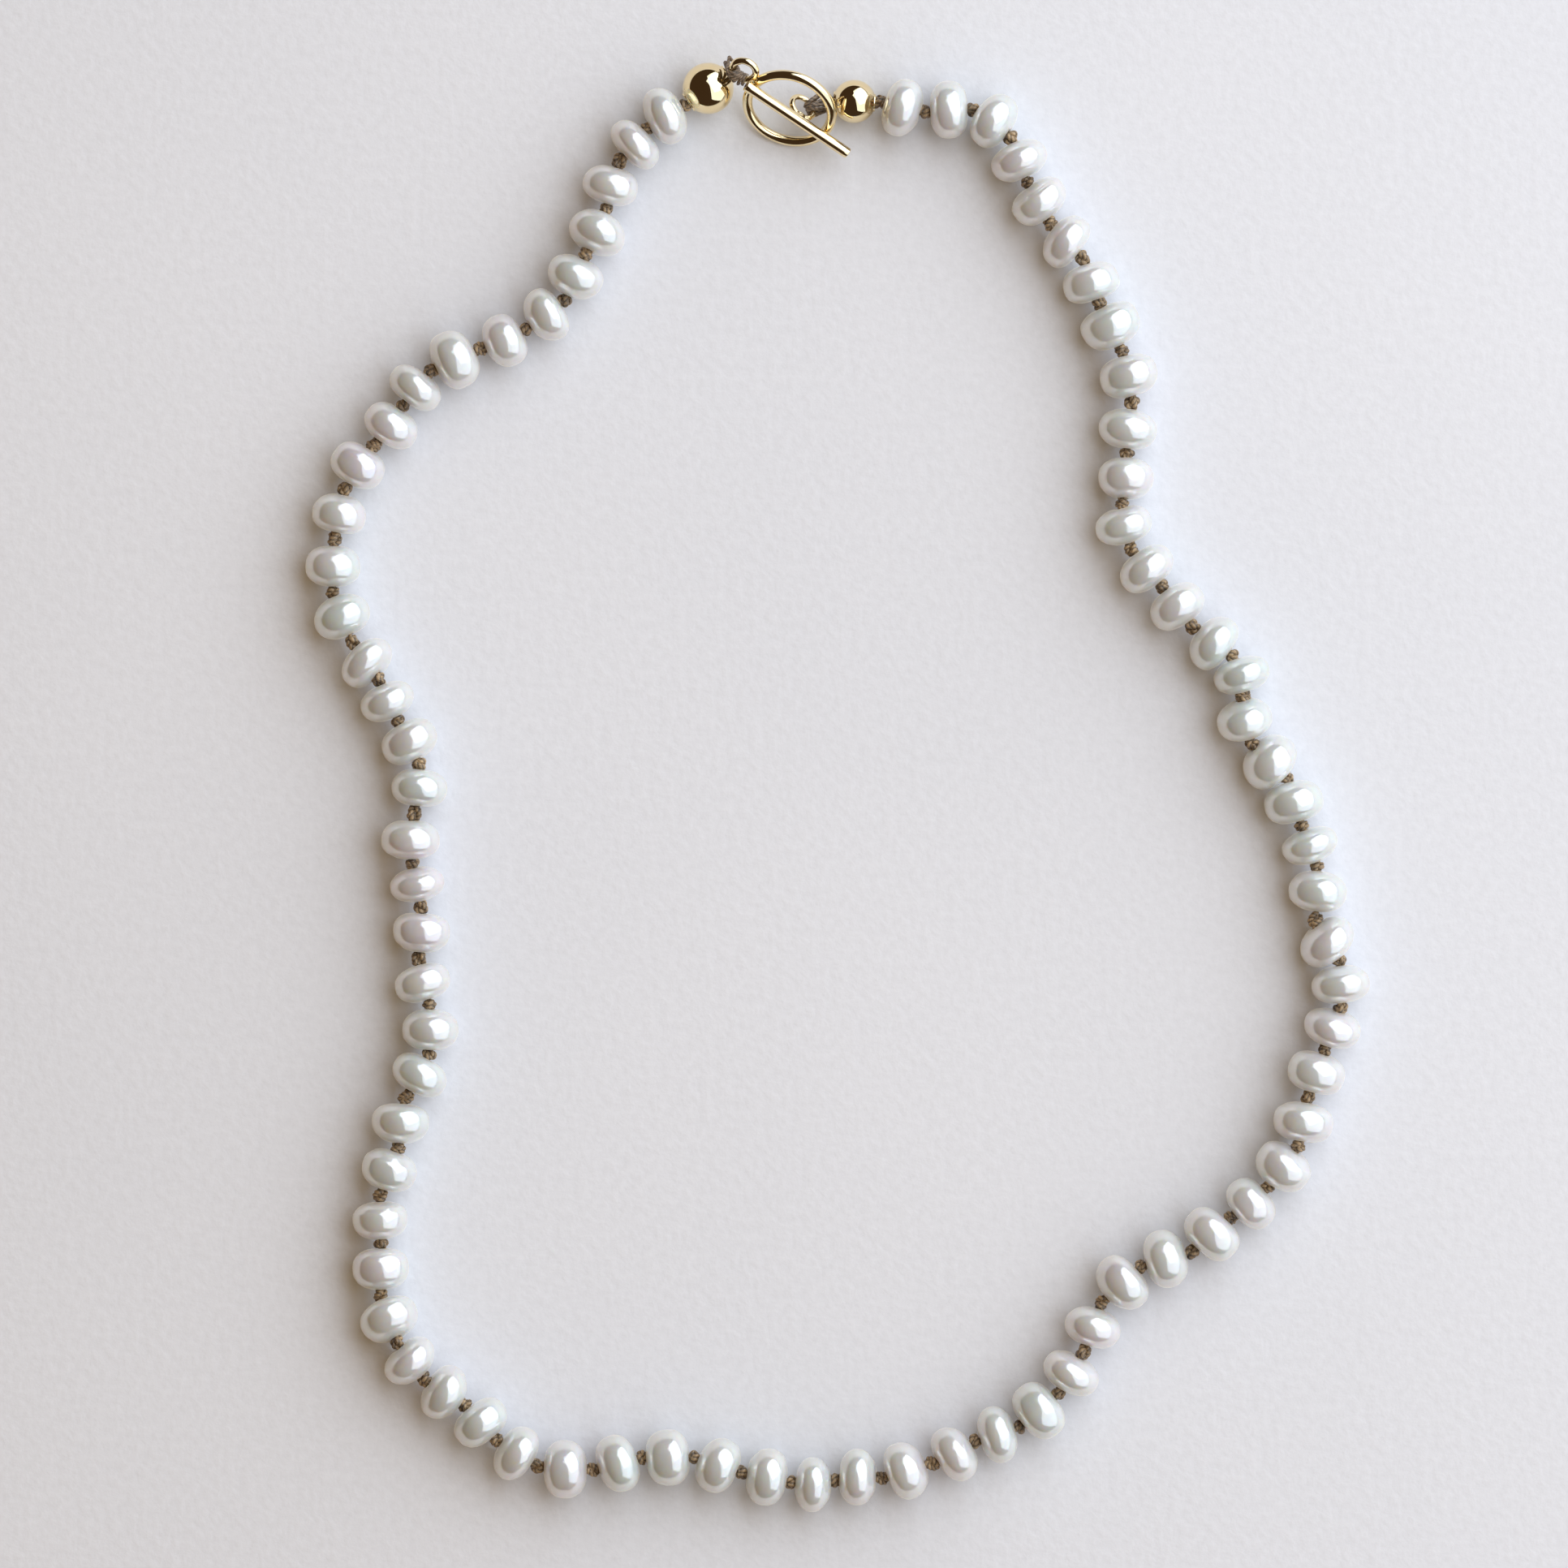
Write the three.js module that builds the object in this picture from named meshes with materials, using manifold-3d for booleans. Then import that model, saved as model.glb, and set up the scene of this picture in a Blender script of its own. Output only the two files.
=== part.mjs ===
// Pearl necklace with a toggle clasp, laid flat and closed.
// Millimetres. +Z up, +Y towards the clasp, +X to the right of someone looking down on it.
// The origin is on the surface it lies on, under the middle of its outline.
//
// 77 button pearls are strung through their short axis on one silk thread, with a knot between
// every two pearls. Each end of the thread goes through a hollow gold bead and is looped and
// wrapped: on the left over the small ring soldered to the toggle ring, on the right over the
// eye of the toggle bar. The bar lies across the leaning toggle ring, so the clasp is closed.
//
// The thread can bend at every knot. Twenty-four of the knots are separate solids, and the
// strand turns about their centres; the pearls between two of them are one solid here.
import * as THREE from 'three';
import { mergeVertices } from 'three/addons/utils/BufferGeometryUtils.js';
import Module from 'manifold-3d';

const wasm = await Module();
wasm.setup();

// ---------------------------------------------------------------- driving dimensions
const SHAPE_POWER = 2.3;        // outline of a pearl: 2 is an ellipse, higher is squarer
const PEARL_SIDES = 12;         // facets round a pearl, one of them facing straight down
const KNOT_RADIUS = 0.76;       // across the strand
const KNOT_CLEARANCE = 0.10;    // between a joint knot and the pearls on both sides of it
const KNOT_FLEX = 20;           // how far a pearl turns up or down about a joint knot, degrees
const KNOT_SWAY = 12;           // and sideways, about a knot that bends in the plane of the loop
const SWAY_KNOTS = [26, 49, 16, 60];
const THREAD_RADIUS = 0.30;     // the silk inside a gold bead
const LOOP_SILK_RADIUS = 0.34;  // the wrapped silk of an end loop

const BEAD_L = { x: -15.02, y: 81.08, r: 2.99, axis: 35.5, collar: 1.30 };
const BEAD_R = { x: 1.94, y: 79.59, r: 2.515, axis: -4.0, collar: 1.00 };
const BEAD_WALL = 0.40;
const BEAD_BORE = 0.62;
const COLLAR_THICK = 0.24;

const RING_X = -5.57, RING_Y = 78.71;
const RING_MAJOR = 5.01;        // radius of the toggle ring's wire circle
const RING_WIRE = 0.59;         // radius of its wire
const RING_TURN = -18;          // direction of its level axis, degrees from +X
const RING_LEAN = 45.5;         // lean about that axis, the upper right side up
const LUG_MAJOR = 1.46;         // small ring soldered to the toggle ring
const LUG_WIRE = 0.33;
const LUG_ANGLE = 151.2;        // where it is, in the toggle ring's plane

const BAR_RADIUS = 0.645;
const BAR_LENGTH = 14.58;
const BAR_TURN = -21;           // direction of the bar in the toggle ring's plane
const BAR_SHIFT = 1.24;         // its middle, from the ring's centre along the level axis
const BAR_GAP = 0.12;           // between the bar and the ring it lies on
const EYE_MAJOR = 1.27;         // the bar's soldered eye
const EYE_WIRE = 0.33;
const EYE_SHIFT = 0.25;

// One row a pearl, from the left gold bead round to the right one:
// x, y, radius, half thickness, direction of the drill hole in degrees from +X,
// and how far the end towards the next pearl is raised, in degrees.
const PEARLS = [
  [-20, 77.88, 3.364, 2.031, -155.6, 0], [-23.46, 74.58, 3.325, 1.929, -137.2, 0], [-26.32, 69.78, 3.189, 2.261, -105.2, 0],
  [-27.87, 64.33, 3.391, 2.45, -115.6, 9], [-30.46, 59.16, 3.313, 2.406, -111, -5], [-33.91, 54.73, 3.234, 2.286, -145.9, 0],
  [-38.66, 51.8, 3.153, 2.385, -156, 0], [-44.42, 49.61, 3.461, 2.525, -153.8, 5], [-48.97, 46.31, 3.196, 2.073, -129.5, 0],
  [-51.82, 41.89, 3.216, 2.261, -123.9, -5], [-55.7, 37.25, 3.218, 2.409, -119.6, 0], [-57.85, 31.72, 3.181, 2.257, -99.9, 0],
  [-58.59, 25.57, 3.224, 2.443, -91.5, 0], [-57.55, 19.78, 3.36, 2.476, -65.4, 5], [-54.66, 14.44, 3.336, 2.044, -47.1, 13],
  [-52.29, 9.93, 3.209, 2.183, -66.4, 0], [-49.66, 5.21, 3.298, 2.299, -65.3, 6], [-48.55, -0.12, 3.26, 2.219, -94.2, 0],
  [-49.57, -6.16, 3.407, 2.301, -90, 0], [-48.79, -11.35, 3.248, 2.042, -80.4, -4], [-48.31, -16.96, 3.277, 2.317, -92.6, 0],
  [-48.18, -22.8, 3.223, 2.138, -73.2, 5], [-47.28, -28.17, 3.321, 2.429, -92.1, 0], [-48.53, -33.48, 3.288, 2.193, -119.3, 0],
  [-50.72, -39.09, 3.342, 2.372, -93.4, 4], [-52.04, -44.57, 3.275, 2.377, -110.5, 0], [-53.09, -50.34, 3.195, 2.224, -86.1, 0],
  [-53.04, -55.96, 3.269, 2.462, -90.2, 0], [-52.03, -61.82, 3.438, 2.388, -65.2, 17], [-49.59, -66.69, 3.315, 2.193, -49.1, -6],
  [-45.6, -70.32, 3.339, 2.316, -31.9, -14], [-41.39, -73.8, 3.36, 2.263, -51.1, 0], [-37.29, -77.34, 3.308, 2.196, -32.7, -5],
  [-31.59, -79.22, 3.369, 2.554, -2, 0], [-25.5, -78.5, 3.398, 2.405, 17.7, 0], [-19.68, -77.87, 3.299, 2.568, 2.5, 4],
  [-13.92, -78.75, 3.297, 2.425, -21.1, 0], [-8.24, -80.08, 3.329, 2.4, -12.5, 0], [-2.84, -80.98, 3.219, 2.156, -1.8, 0],
  [2.32, -80.14, 3.299, 2.225, -3.3, 0], [8.01, -79.31, 3.352, 2.393, 20.4, 0], [13.63, -77.4, 3.368, 2.258, 31.9, -6],
  [18.54, -75.19, 3.29, 2.237, 15.3, 0], [23.34, -72.4, 3.472, 2.491, 40.8, 0], [27.08, -68.07, 3.422, 2.205, 61.2, 7],
  [29.62, -62.73, 3.278, 2.328, 73.7, 0], [32.96, -57.66, 3.428, 2.459, 41, 0], [38.1, -54.79, 3.365, 2.493, 12.9, 0],
  [43.42, -51.91, 3.466, 2.451, 48, 0], [47.98, -48.36, 3.188, 2.238, 41.6, 6], [51.68, -44.12, 3.367, 2.472, 52.6, 9],
  [54.04, -38.92, 3.465, 2.318, 81.8, 0], [55.58, -33.16, 3.4, 2.38, 70.6, 5], [57.46, -28.04, 3.363, 2.138, 73.4, 15],
  [58.43, -22.92, 3.391, 2.234, 96, 0], [56.77, -17.95, 3.442, 2.301, 131.8, 12], [55.75, -12.14, 3.363, 2.419, 87.1, 0],
  [54.83, -6.88, 3.307, 2.055, 107.6, 5], [52.94, -1.75, 3.477, 2.38, 103.3, 0], [50.02, 3.01, 3.438, 2.473, 137.4, 19],
  [47.22, 7.82, 3.306, 2.308, 106, 12], [46.91, 13, 3.353, 2.066, 107.9, 0], [43.56, 16.77, 3.369, 2.28, 143.6, 0],
  [39.41, 20.97, 3.329, 2.337, 124.6, -4], [35.86, 25.3, 3.402, 2.23, 129.1, 0], [33.24, 30.32, 3.364, 2.155, 103.7, 5],
  [33.48, 35.76, 3.204, 2.443, 84.7, -12], [33.68, 41.51, 3.381, 2.377, 84.5, 0], [33.8, 47.64, 3.443, 2.49, 105.1, 0],
  [31.72, 53.44, 3.482, 2.473, 116.1, 5], [29.4, 58.55, 3.311, 2.209, 108.5, 0], [26.47, 63.35, 3.315, 2.115, 142.3, 0],
  [23.41, 67.92, 3.395, 2.167, 124, 6], [21.07, 72.68, 3.414, 2.226, 111.7, 0], [18.11, 77.26, 3.321, 2.283, 143.9, -9],
  [12.91, 78.59, 3.329, 2.248, 180.8, 0], [7.55, 78.82, 3.381, 2.247, 162, 0],
];

// Pearls of each strand piece, numbered from 1. strand_00 is the bottom of the loop; L goes up
// the left side to the clasp and R up the right side.
const LEFT = [[36, 34], [33, 31], [30, 27], [26, 24], [23, 21], [20, 17], [16, 14], [13, 11], [10, 8], [7, 5], [4, 3], [2, 1]];
const RIGHT = [[41, 43], [44, 46], [47, 49], [50, 53], [54, 57], [58, 60], [61, 63], [64, 66], [67, 69], [70, 72], [73, 75], [76, 77]];

// ---------------------------------------------------------------- materials
const pearlMat = () => new THREE.MeshStandardMaterial({ color: 0xf2f0ec, roughness: 0.22, metalness: 0.0 });
const silkMat = () => new THREE.MeshStandardMaterial({ color: 0x8a6f55, roughness: 0.75, metalness: 0.0 });
const goldMat = () => new THREE.MeshStandardMaterial({ color: 0xe2bd6e, roughness: 0.12, metalness: 1.0 });

// ---------------------------------------------------------------- solids
const rad = (d) => d * Math.PI / 180;

function toManifold(geometry) {
  const g = geometry.clone();
  g.deleteAttribute('normal');
  g.deleteAttribute('uv');
  const m = mergeVertices(g, 1e-5);
  return new wasm.Manifold(new wasm.Mesh({
    numProp: 3,
    vertProperties: new Float32Array(m.attributes.position.array),
    triVerts: new Uint32Array(m.index.array),
  }));
}

function fromManifold(solid) {
  const mesh = solid.getMesh();
  const g = new THREE.BufferGeometry();
  g.setAttribute('position', new THREE.BufferAttribute(new Float32Array(mesh.vertProperties), 3));
  g.setIndex(new THREE.BufferAttribute(new Uint32Array(mesh.triVerts), 1));
  g.computeVertexNormals();
  return g;
}

function union(geometries) {
  let solid = toManifold(geometries[0]);
  for (const g of geometries.slice(1)) solid = solid.add(toManifold(g));
  return fromManifold(solid);
}

function placed(g, xAxis, upHint, origin) {
  const x = xAxis.clone().normalize();
  const z = upHint.clone().addScaledVector(x, -upHint.dot(x)).normalize();
  const y = new THREE.Vector3().crossVectors(z, x);
  const m = new THREE.Matrix4().makeBasis(x, y, z);
  m.setPosition(origin);
  return g.applyMatrix4(m);
}

const UP = new THREE.Vector3(0, 0, 1);

// A basis whose first axis is dir and whose third leans as little from straight up as it can.
function frameOf(dir) {
  const x = dir.clone().normalize();
  const z = UP.clone().addScaledVector(x, -x.z).normalize();
  return { x, y: new THREE.Vector3().crossVectors(z, x), z };
}

// One ring of points round centre, with a flat side facing straight down.
function ringOf(centre, dir, radius, count) {
  const f = frameOf(dir);
  return Array.from({ length: count }, (_, k) => {
    const a = -Math.PI / 2 - Math.PI / PEARL_SIDES + 2 * Math.PI * k / count;
    return centre.clone().addScaledVector(f.y, radius * Math.cos(a)).addScaledVector(f.z, radius * Math.sin(a));
  });
}

// A closed skin over rings in order; a ring may have as many points as the last, twice or half.
function skin(rings) {
  const pos = [], idx = [], start = [];
  for (const r of rings) { start.push(pos.length / 3); for (const p of r) pos.push(p.x, p.y, p.z); }
  for (let i = 0; i + 1 < rings.length; i++) {
    const n = rings[i].length, m = rings[i + 1].length;
    const A = (k) => start[i] + (k % n), B = (k) => start[i + 1] + (k % m);
    if (n === m) for (let k = 0; k < n; k++) idx.push(A(k), A(k + 1), B(k + 1), A(k), B(k + 1), B(k));
    else if (n === 2 * m) for (let k = 0; k < m; k++) idx.push(A(2 * k), A(2 * k + 1), B(k), A(2 * k + 1), B(k + 1), B(k), A(2 * k + 1), A(2 * k + 2), B(k + 1));
    else for (let k = 0; k < n; k++) idx.push(A(k), B(2 * k + 1), B(2 * k), A(k), A(k + 1), B(2 * k + 1), A(k + 1), B(2 * k + 2), B(2 * k + 1));
  }
  const cap = (r, base, flip) => {
    for (let k = 1; k + 1 < r.length; k++) idx.push(base, flip ? base + k : base + k + 1, flip ? base + k + 1 : base + k);
  };
  cap(rings[0], 0, false);
  cap(rings[rings.length - 1], start[rings.length - 1], true);
  const g = new THREE.BufferGeometry();
  g.setAttribute('position', new THREE.Float32BufferAttribute(pos, 3));
  g.setIndex(idx);
  return g;
}

const END_FACE = 0.36;            // radius of the flat round a drill hole
function pearlRings(p) {
  const e = 2 / SHAPE_POWER;
  const k = 1 / Math.cos(Math.PI / PEARL_SIDES);
  const at = (x, r, n) => ringOf(p.c.clone().addScaledVector(p.dir, x), p.dir, r, n);
  const band = [-50, -16, 16, 50].map(rad).map((t) => at(
    Math.sign(t) * p.h * Math.pow(Math.abs(Math.sin(t)), e),
    k * p.r * (Math.abs(t) < 0.5 ? 1 : Math.pow(Math.cos(t), e)),
    PEARL_SIDES,
  ));
  return [at(-p.h, END_FACE, PEARL_SIDES / 2), ...band, at(p.h, END_FACE, PEARL_SIDES / 2)];
}

// Half length and radius of the largest barrel-shaped knot that stays clear of the faces it sits
// between: sides is a list of [distance to the face, angle to it at rest, greatest angle], in degrees.
const BARREL = [[1, 0.5], [0.4, 0.95]];      // [along, across] of its two outlines
function knotSize(room, sides) {
  let best = [0.25, 0.3], score = 0;
  for (let a = room - KNOT_CLEARANCE; a > 0.24; a -= 0.01) {
    let b = KNOT_RADIUS;
    for (const [reach, angle, most] of sides) {
      const free = reach * Math.cos(rad(angle)) - 0.07, t = rad(most);
      for (const [u, v] of BARREL) b = Math.min(b, (free - u * a * Math.cos(t)) / (v * Math.max(Math.sin(t), 0.02)));
    }
    if (b > 0.2 && b + 0.7 * a > score) { score = b + 0.7 * a; best = [a, b]; }
  }
  return best;
}

function knotSolid(a, b, half, radius) {
  const mid = a.clone().add(b).multiplyScalar(0.5);
  const dir = b.clone().sub(a).normalize();
  const at = (u, v) => ringOf(mid.clone().addScaledVector(dir, half * u), dir, radius * v, 8);
  const [[u1, v1], [u2, v2]] = BARREL;
  return skin([at(-u1, v1), at(-u2, v2), at(u2, v2), at(u1, v1)]);
}

function rod(a, b, radius, sides) {
  const L = a.distanceTo(b);
  const g = new THREE.CylinderGeometry(radius, radius, L, sides, 1);
  g.rotateZ(-Math.PI / 2);
  g.translate(L / 2, 0, 0);
  return placed(g, b.clone().sub(a), new THREE.Vector3(0.3, 0.2, 0.93), a.clone());
}

function torus(major, wire, sides, steps, centre, axis, hint) {
  const g = new THREE.TorusGeometry(major, wire, sides, steps);   // about local Z
  const z = axis.clone().normalize();
  const x = hint.clone().addScaledVector(z, -hint.dot(z)).normalize();
  const y = new THREE.Vector3().crossVectors(z, x);
  const m = new THREE.Matrix4().makeBasis(x, y, z);
  m.setPosition(centre);
  return g.applyMatrix4(m);
}

// A closed loop of silk: a drop shape round centre, drawn out to tail, lying across tangent.
function silkLoop(centre, tail, tangent, turnRadius, silk, sides, steps) {
  const x = tail.clone().sub(centre);
  x.addScaledVector(tangent, -x.dot(tangent));
  const reach = x.length();
  x.normalize();
  const y = new THREE.Vector3().crossVectors(tangent, x).normalize();
  const ring = [];
  for (let k = 0; k < steps; k++) {
    const a = 2 * Math.PI * k / steps;
    const pull = Math.max(0, Math.cos(a));
    const w = 1 - 0.42 * pull * pull;
    const px = turnRadius * Math.cos(a) + (reach - turnRadius) * Math.pow(pull, 3);
    const py = turnRadius * Math.sin(a) * w;
    ring.push(centre.clone().addScaledVector(x, px).addScaledVector(y, py));
  }
  const pos = [], idx = [];
  const n = ring.length;
  for (let k = 0; k < n; k++) {
    const t = ring[(k + 1) % n].clone().sub(ring[(k + n - 1) % n]).normalize();
    const u = tangent.clone().normalize();
    const v = new THREE.Vector3().crossVectors(t, u);
    for (let s = 0; s < sides; s++) {
      const a = 2 * Math.PI * (s + 0.5) / sides;
      const p = ring[k].clone().addScaledVector(u, silk * 1.25 * Math.cos(a)).addScaledVector(v, silk * Math.sin(a));
      pos.push(p.x, p.y, p.z);
    }
  }
  for (let k = 0; k < n; k++) {
    for (let s = 0; s < sides; s++) {
      const a = k * sides + s, b = k * sides + (s + 1) % sides;
      const c = ((k + 1) % n) * sides + (s + 1) % sides, d = ((k + 1) % n) * sides + s;
      idx.push(a, b, c, a, c, d);
    }
  }
  const g = new THREE.BufferGeometry();
  g.setAttribute('position', new THREE.Float32BufferAttribute(pos, 3));
  g.setIndex(idx);
  const solid = toManifold(g);
  if (solid.volume() < 0) g.setIndex([...idx].reverse());
  return g;
}

// ---------------------------------------------------------------- pearls and knots
const pearls = PEARLS.map(([x, y, r, h, angle, lift]) => {
  const dir = new THREE.Vector3(Math.cos(rad(angle)) * Math.cos(rad(lift)), Math.sin(rad(angle)) * Math.cos(rad(lift)), Math.sin(rad(lift)));
  const p = { r, h, dir, c: new THREE.Vector3(x, y, 0) };
  p.c.z = -Math.min(...pearlRings(p).flat().map((q) => q.z));   // every pearl rests on the surface
  return p;
});
const endOf = (i, side) => pearls[i - 1].c.clone().addScaledVector(pearls[i - 1].dir, side * pearls[i - 1].h);
// The knot between pearl i and pearl i + 1.
const knotEnds = (i) => [endOf(i, 1), endOf(i + 1, -1)];
const knotCentre = (i) => { const [a, b] = knotEnds(i); return a.add(b).multiplyScalar(0.5); };

const group = new THREE.Group();
const info = {};
function add(name, geometry, material, extra) {
  const mesh = new THREE.Mesh(geometry, material);
  mesh.name = name;
  group.add(mesh);
  info[name] = extra || {};
  return mesh;
}

const between = (u, v) => THREE.MathUtils.radToDeg(u.angleTo(v));
function knotShape(i, joint) {
  const [a, b] = knotEnds(i);
  const dir = b.clone().sub(a).normalize();
  const half = a.distanceTo(b) / 2;
  const bent = (t) => (!joint ? t : SWAY_KNOTS.includes(i) ? t + KNOT_SWAY : Math.hypot(t, KNOT_FLEX));
  const size = knotSize(half, [pearls[i - 1], pearls[i]].map((p) => between(dir, p.dir)).map((t) => [half, t, bent(t)]));
  return { a, b, dir, half, size };
}

function strand(name, from, to) {
  const lo = Math.min(from, to), hi = Math.max(from, to);
  const rings = [];
  for (let i = lo; i <= hi; i++) {
    rings.push(...pearlRings(pearls[i - 1]));
    if (i < hi) {
      const k = knotShape(i, false);
      rings.push(ringOf(k.a.clone().add(k.b).multiplyScalar(0.5), k.dir, k.size[1], PEARL_SIDES / 2));
    }
  }
  add(name, skin(rings), pearlMat(), { pearls: [lo, hi] });
}

function jointKnot(name, i) {
  const k = knotShape(i, true);
  add(name, knotSolid(k.a, k.b, ...k.size), silkMat(), { knot: i, size: k.size, half: k.half });
}

const two = (n) => String(n).padStart(2, '0');
strand('strand_00', 37, 40);
LEFT.forEach(([a, b], k) => { jointKnot('knot_L' + two(k + 1), a); strand('strand_L' + two(k + 1), a, b); });
RIGHT.forEach(([a, b], k) => { jointKnot('knot_R' + two(k + 1), a - 1); strand('strand_R' + two(k + 1), a, b); });

// ---------------------------------------------------------------- gold beads
function goldBead(spec) {
  const axis = new THREE.Vector3(Math.cos(rad(spec.axis)), Math.sin(rad(spec.axis)), 0);
  const c = new THREE.Vector3(spec.x, spec.y, spec.r);
  const inner = spec.r - BEAD_WALL;
  const profile = [];                              // [x, radius], closed on itself
  const end = spec.r;                              // the collar's outer face
  profile.push([end, BEAD_BORE], [end, spec.collar * 0.80]);
  profile.push([end - COLLAR_THICK, spec.collar]);
  const steps = 7;
  for (let k = 0; k <= steps; k++) {
    const a = Math.asin(Math.min(0.95, spec.collar / spec.r)) + 0.04;
    const t = a + (Math.PI - 2 * a) * k / steps;
    profile.push([spec.r * Math.cos(t), spec.r * Math.sin(t)]);
  }
  profile.push([-end + COLLAR_THICK, spec.collar], [-end, spec.collar * 0.80], [-end, BEAD_BORE]);
  const a2 = Math.asin(BEAD_BORE / inner);
  for (let k = 0; k <= 4; k++) {
    const t = Math.PI - (a2 + (Math.PI - 2 * a2) * k / 4);
    profile.push([inner * Math.cos(t), inner * Math.sin(t)]);
  }
  const sides = 16, pos = [], idx = [], n = profile.length;
  for (const [x, r] of profile) for (let s = 0; s < sides; s++) {
    const a = 2 * Math.PI * (s + 0.5) / sides;
    pos.push(x, r * Math.cos(a), r * Math.sin(a));
  }
  for (let i = 0; i < n; i++) for (let s = 0; s < sides; s++) {
    const j = (i + 1) % n, t = (s + 1) % sides;
    idx.push(i * sides + s, i * sides + t, j * sides + t, i * sides + s, j * sides + t, j * sides + s);
  }
  let g = new THREE.BufferGeometry();
  g.setAttribute('position', new THREE.Float32BufferAttribute(pos, 3));
  g.setIndex(idx);
  if (toManifold(g).volume() < 0) g.setIndex([...idx].reverse());
  g = placed(g, axis, UP, c);
  return { g, axis, c, out: c.clone().addScaledVector(axis, spec.r) };
}
const beadL = goldBead(BEAD_L);
const beadR = goldBead(BEAD_R);
add('gold_bead_left', beadL.g, goldMat(), { pivot: beadL.c.toArray(), axis: beadL.axis.toArray() });
add('gold_bead_right', beadR.g, goldMat(), { pivot: beadR.c.toArray(), axis: beadR.axis.toArray() });

// End knots: between the last pearl and its gold bead.
function endKnot(name, pearl, side, bead) {
  const end = pearl.c.clone().addScaledVector(pearl.dir, side * pearl.h);
  const rim = bead.c.clone().addScaledVector(bead.axis, side * bead.r);
  const dir = rim.clone().sub(end).normalize();
  const half = end.distanceTo(rim) / 2;
  const fold = (d) => Math.min(d, 180 - d);
  const size = knotSize(half, [between(dir, pearl.dir), between(dir, bead.axis)].map(fold).map((t) => [half, t, t]));
  add(name, knotSolid(end, rim, ...size), silkMat(), { size, half });
}
beadL.r = BEAD_L.r; beadR.r = BEAD_R.r;
endKnot('end_knot_left', pearls[0], -1, beadL);
endKnot('end_knot_right', pearls[76], 1, beadR);

// ---------------------------------------------------------------- toggle ring
const e1 = new THREE.Vector3(Math.cos(rad(RING_TURN)), Math.sin(rad(RING_TURN)), 0);
const level = new THREE.Vector3(-Math.sin(rad(RING_TURN)), Math.cos(rad(RING_TURN)), 0);
const e2 = level.clone().multiplyScalar(Math.cos(rad(RING_LEAN))).addScaledVector(UP, Math.sin(rad(RING_LEAN)));
const normal = new THREE.Vector3().crossVectors(e1, e2);
const ringC = new THREE.Vector3(RING_X, RING_Y, RING_MAJOR * Math.sin(rad(RING_LEAN)) + RING_WIRE);
const inRing = (u, v, w) => ringC.clone().addScaledVector(e1, u).addScaledVector(e2, v).addScaledVector(normal, w || 0);
const lugDir = e1.clone().multiplyScalar(Math.cos(rad(LUG_ANGLE))).addScaledVector(e2, Math.sin(rad(LUG_ANGLE)));
const lugC = ringC.clone().addScaledVector(lugDir, RING_MAJOR + RING_WIRE + LUG_MAJOR + LUG_WIRE - 0.18);
const solder = new THREE.SphereGeometry(0.52, 8, 6);
solder.translate(...ringC.clone().addScaledVector(lugDir, RING_MAJOR + RING_WIRE + 0.02).toArray());
add('toggle_ring', union([
  torus(RING_MAJOR, RING_WIRE, 8, 36, ringC, normal, e1),
  torus(LUG_MAJOR, LUG_WIRE, 6, 16, lugC, normal, e1),
  solder,
]), goldMat(), {});

// ---------------------------------------------------------------- toggle bar
const barDir = e1.clone().multiplyScalar(Math.cos(rad(BAR_TURN))).addScaledVector(e2, Math.sin(rad(BAR_TURN)));
const barC = inRing(BAR_SHIFT, -0.07, RING_WIRE + BAR_RADIUS + BAR_GAP);
const eyeC = barC.clone().addScaledVector(normal, -(BAR_RADIUS + EYE_MAJOR + EYE_WIRE - 0.20)).addScaledVector(barDir, EYE_SHIFT);
const eyeAxis = new THREE.Vector3().crossVectors(barDir, normal).normalize();
add('toggle_bar', union([
  rod(barC.clone().addScaledVector(barDir, -BAR_LENGTH / 2), barC.clone().addScaledVector(barDir, BAR_LENGTH / 2), BAR_RADIUS, 12),
  torus(EYE_MAJOR, EYE_WIRE, 6, 16, eyeC, eyeAxis, barDir),
]), goldMat(), {});

// ---------------------------------------------------------------- silk at the two ends
// Left: over the small ring. The wire is held where it comes nearest the bead.
const heldDir = e1.clone().multiplyScalar(-0.92).addScaledVector(e2, -0.39).normalize();
const holdL = lugC.clone().addScaledVector(heldDir, LUG_MAJOR);
const wireL = new THREE.Vector3().crossVectors(normal, heldDir).normalize();
const exitL = beadL.c.clone().addScaledVector(beadL.axis, BEAD_L.r + 0.34);
add('silk_loop_left', silkLoop(holdL, exitL.clone().addScaledVector(holdL.clone().sub(exitL).normalize(), 0.45), wireL, 0.98, LOOP_SILK_RADIUS, 6, 20), silkMat(), {});
add('silk_tail_left', rod(beadL.c.clone().addScaledVector(beadL.axis, -BEAD_L.r + 0.05), beadL.c.clone().addScaledVector(beadL.axis, BEAD_L.r + 0.22), THREAD_RADIUS, 8), silkMat(), {});

// Right: over the eye of the bar, on the side of the bead.
const exitR = beadR.c.clone().addScaledVector(beadR.axis, -(BEAD_R.r + 0.34));
const pull = exitR.clone().sub(eyeC);
const heldR = barDir.clone().multiplyScalar(pull.dot(barDir)).addScaledVector(normal, pull.dot(normal)).normalize();
const holdR = eyeC.clone().addScaledVector(heldR, EYE_MAJOR);
const wireR = new THREE.Vector3().crossVectors(eyeAxis, heldR).normalize();
add('silk_loop_right', silkLoop(holdR, exitR.clone().addScaledVector(holdR.clone().sub(exitR).normalize(), 0.45), wireR, 0.98, LOOP_SILK_RADIUS, 6, 20), silkMat(), {});
add('silk_tail_right', rod(beadR.c.clone().addScaledVector(beadR.axis, BEAD_R.r - 0.05), beadR.c.clone().addScaledVector(beadR.axis, -(BEAD_R.r + 0.22)), THREAD_RADIUS, 8), silkMat(), {});

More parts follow.
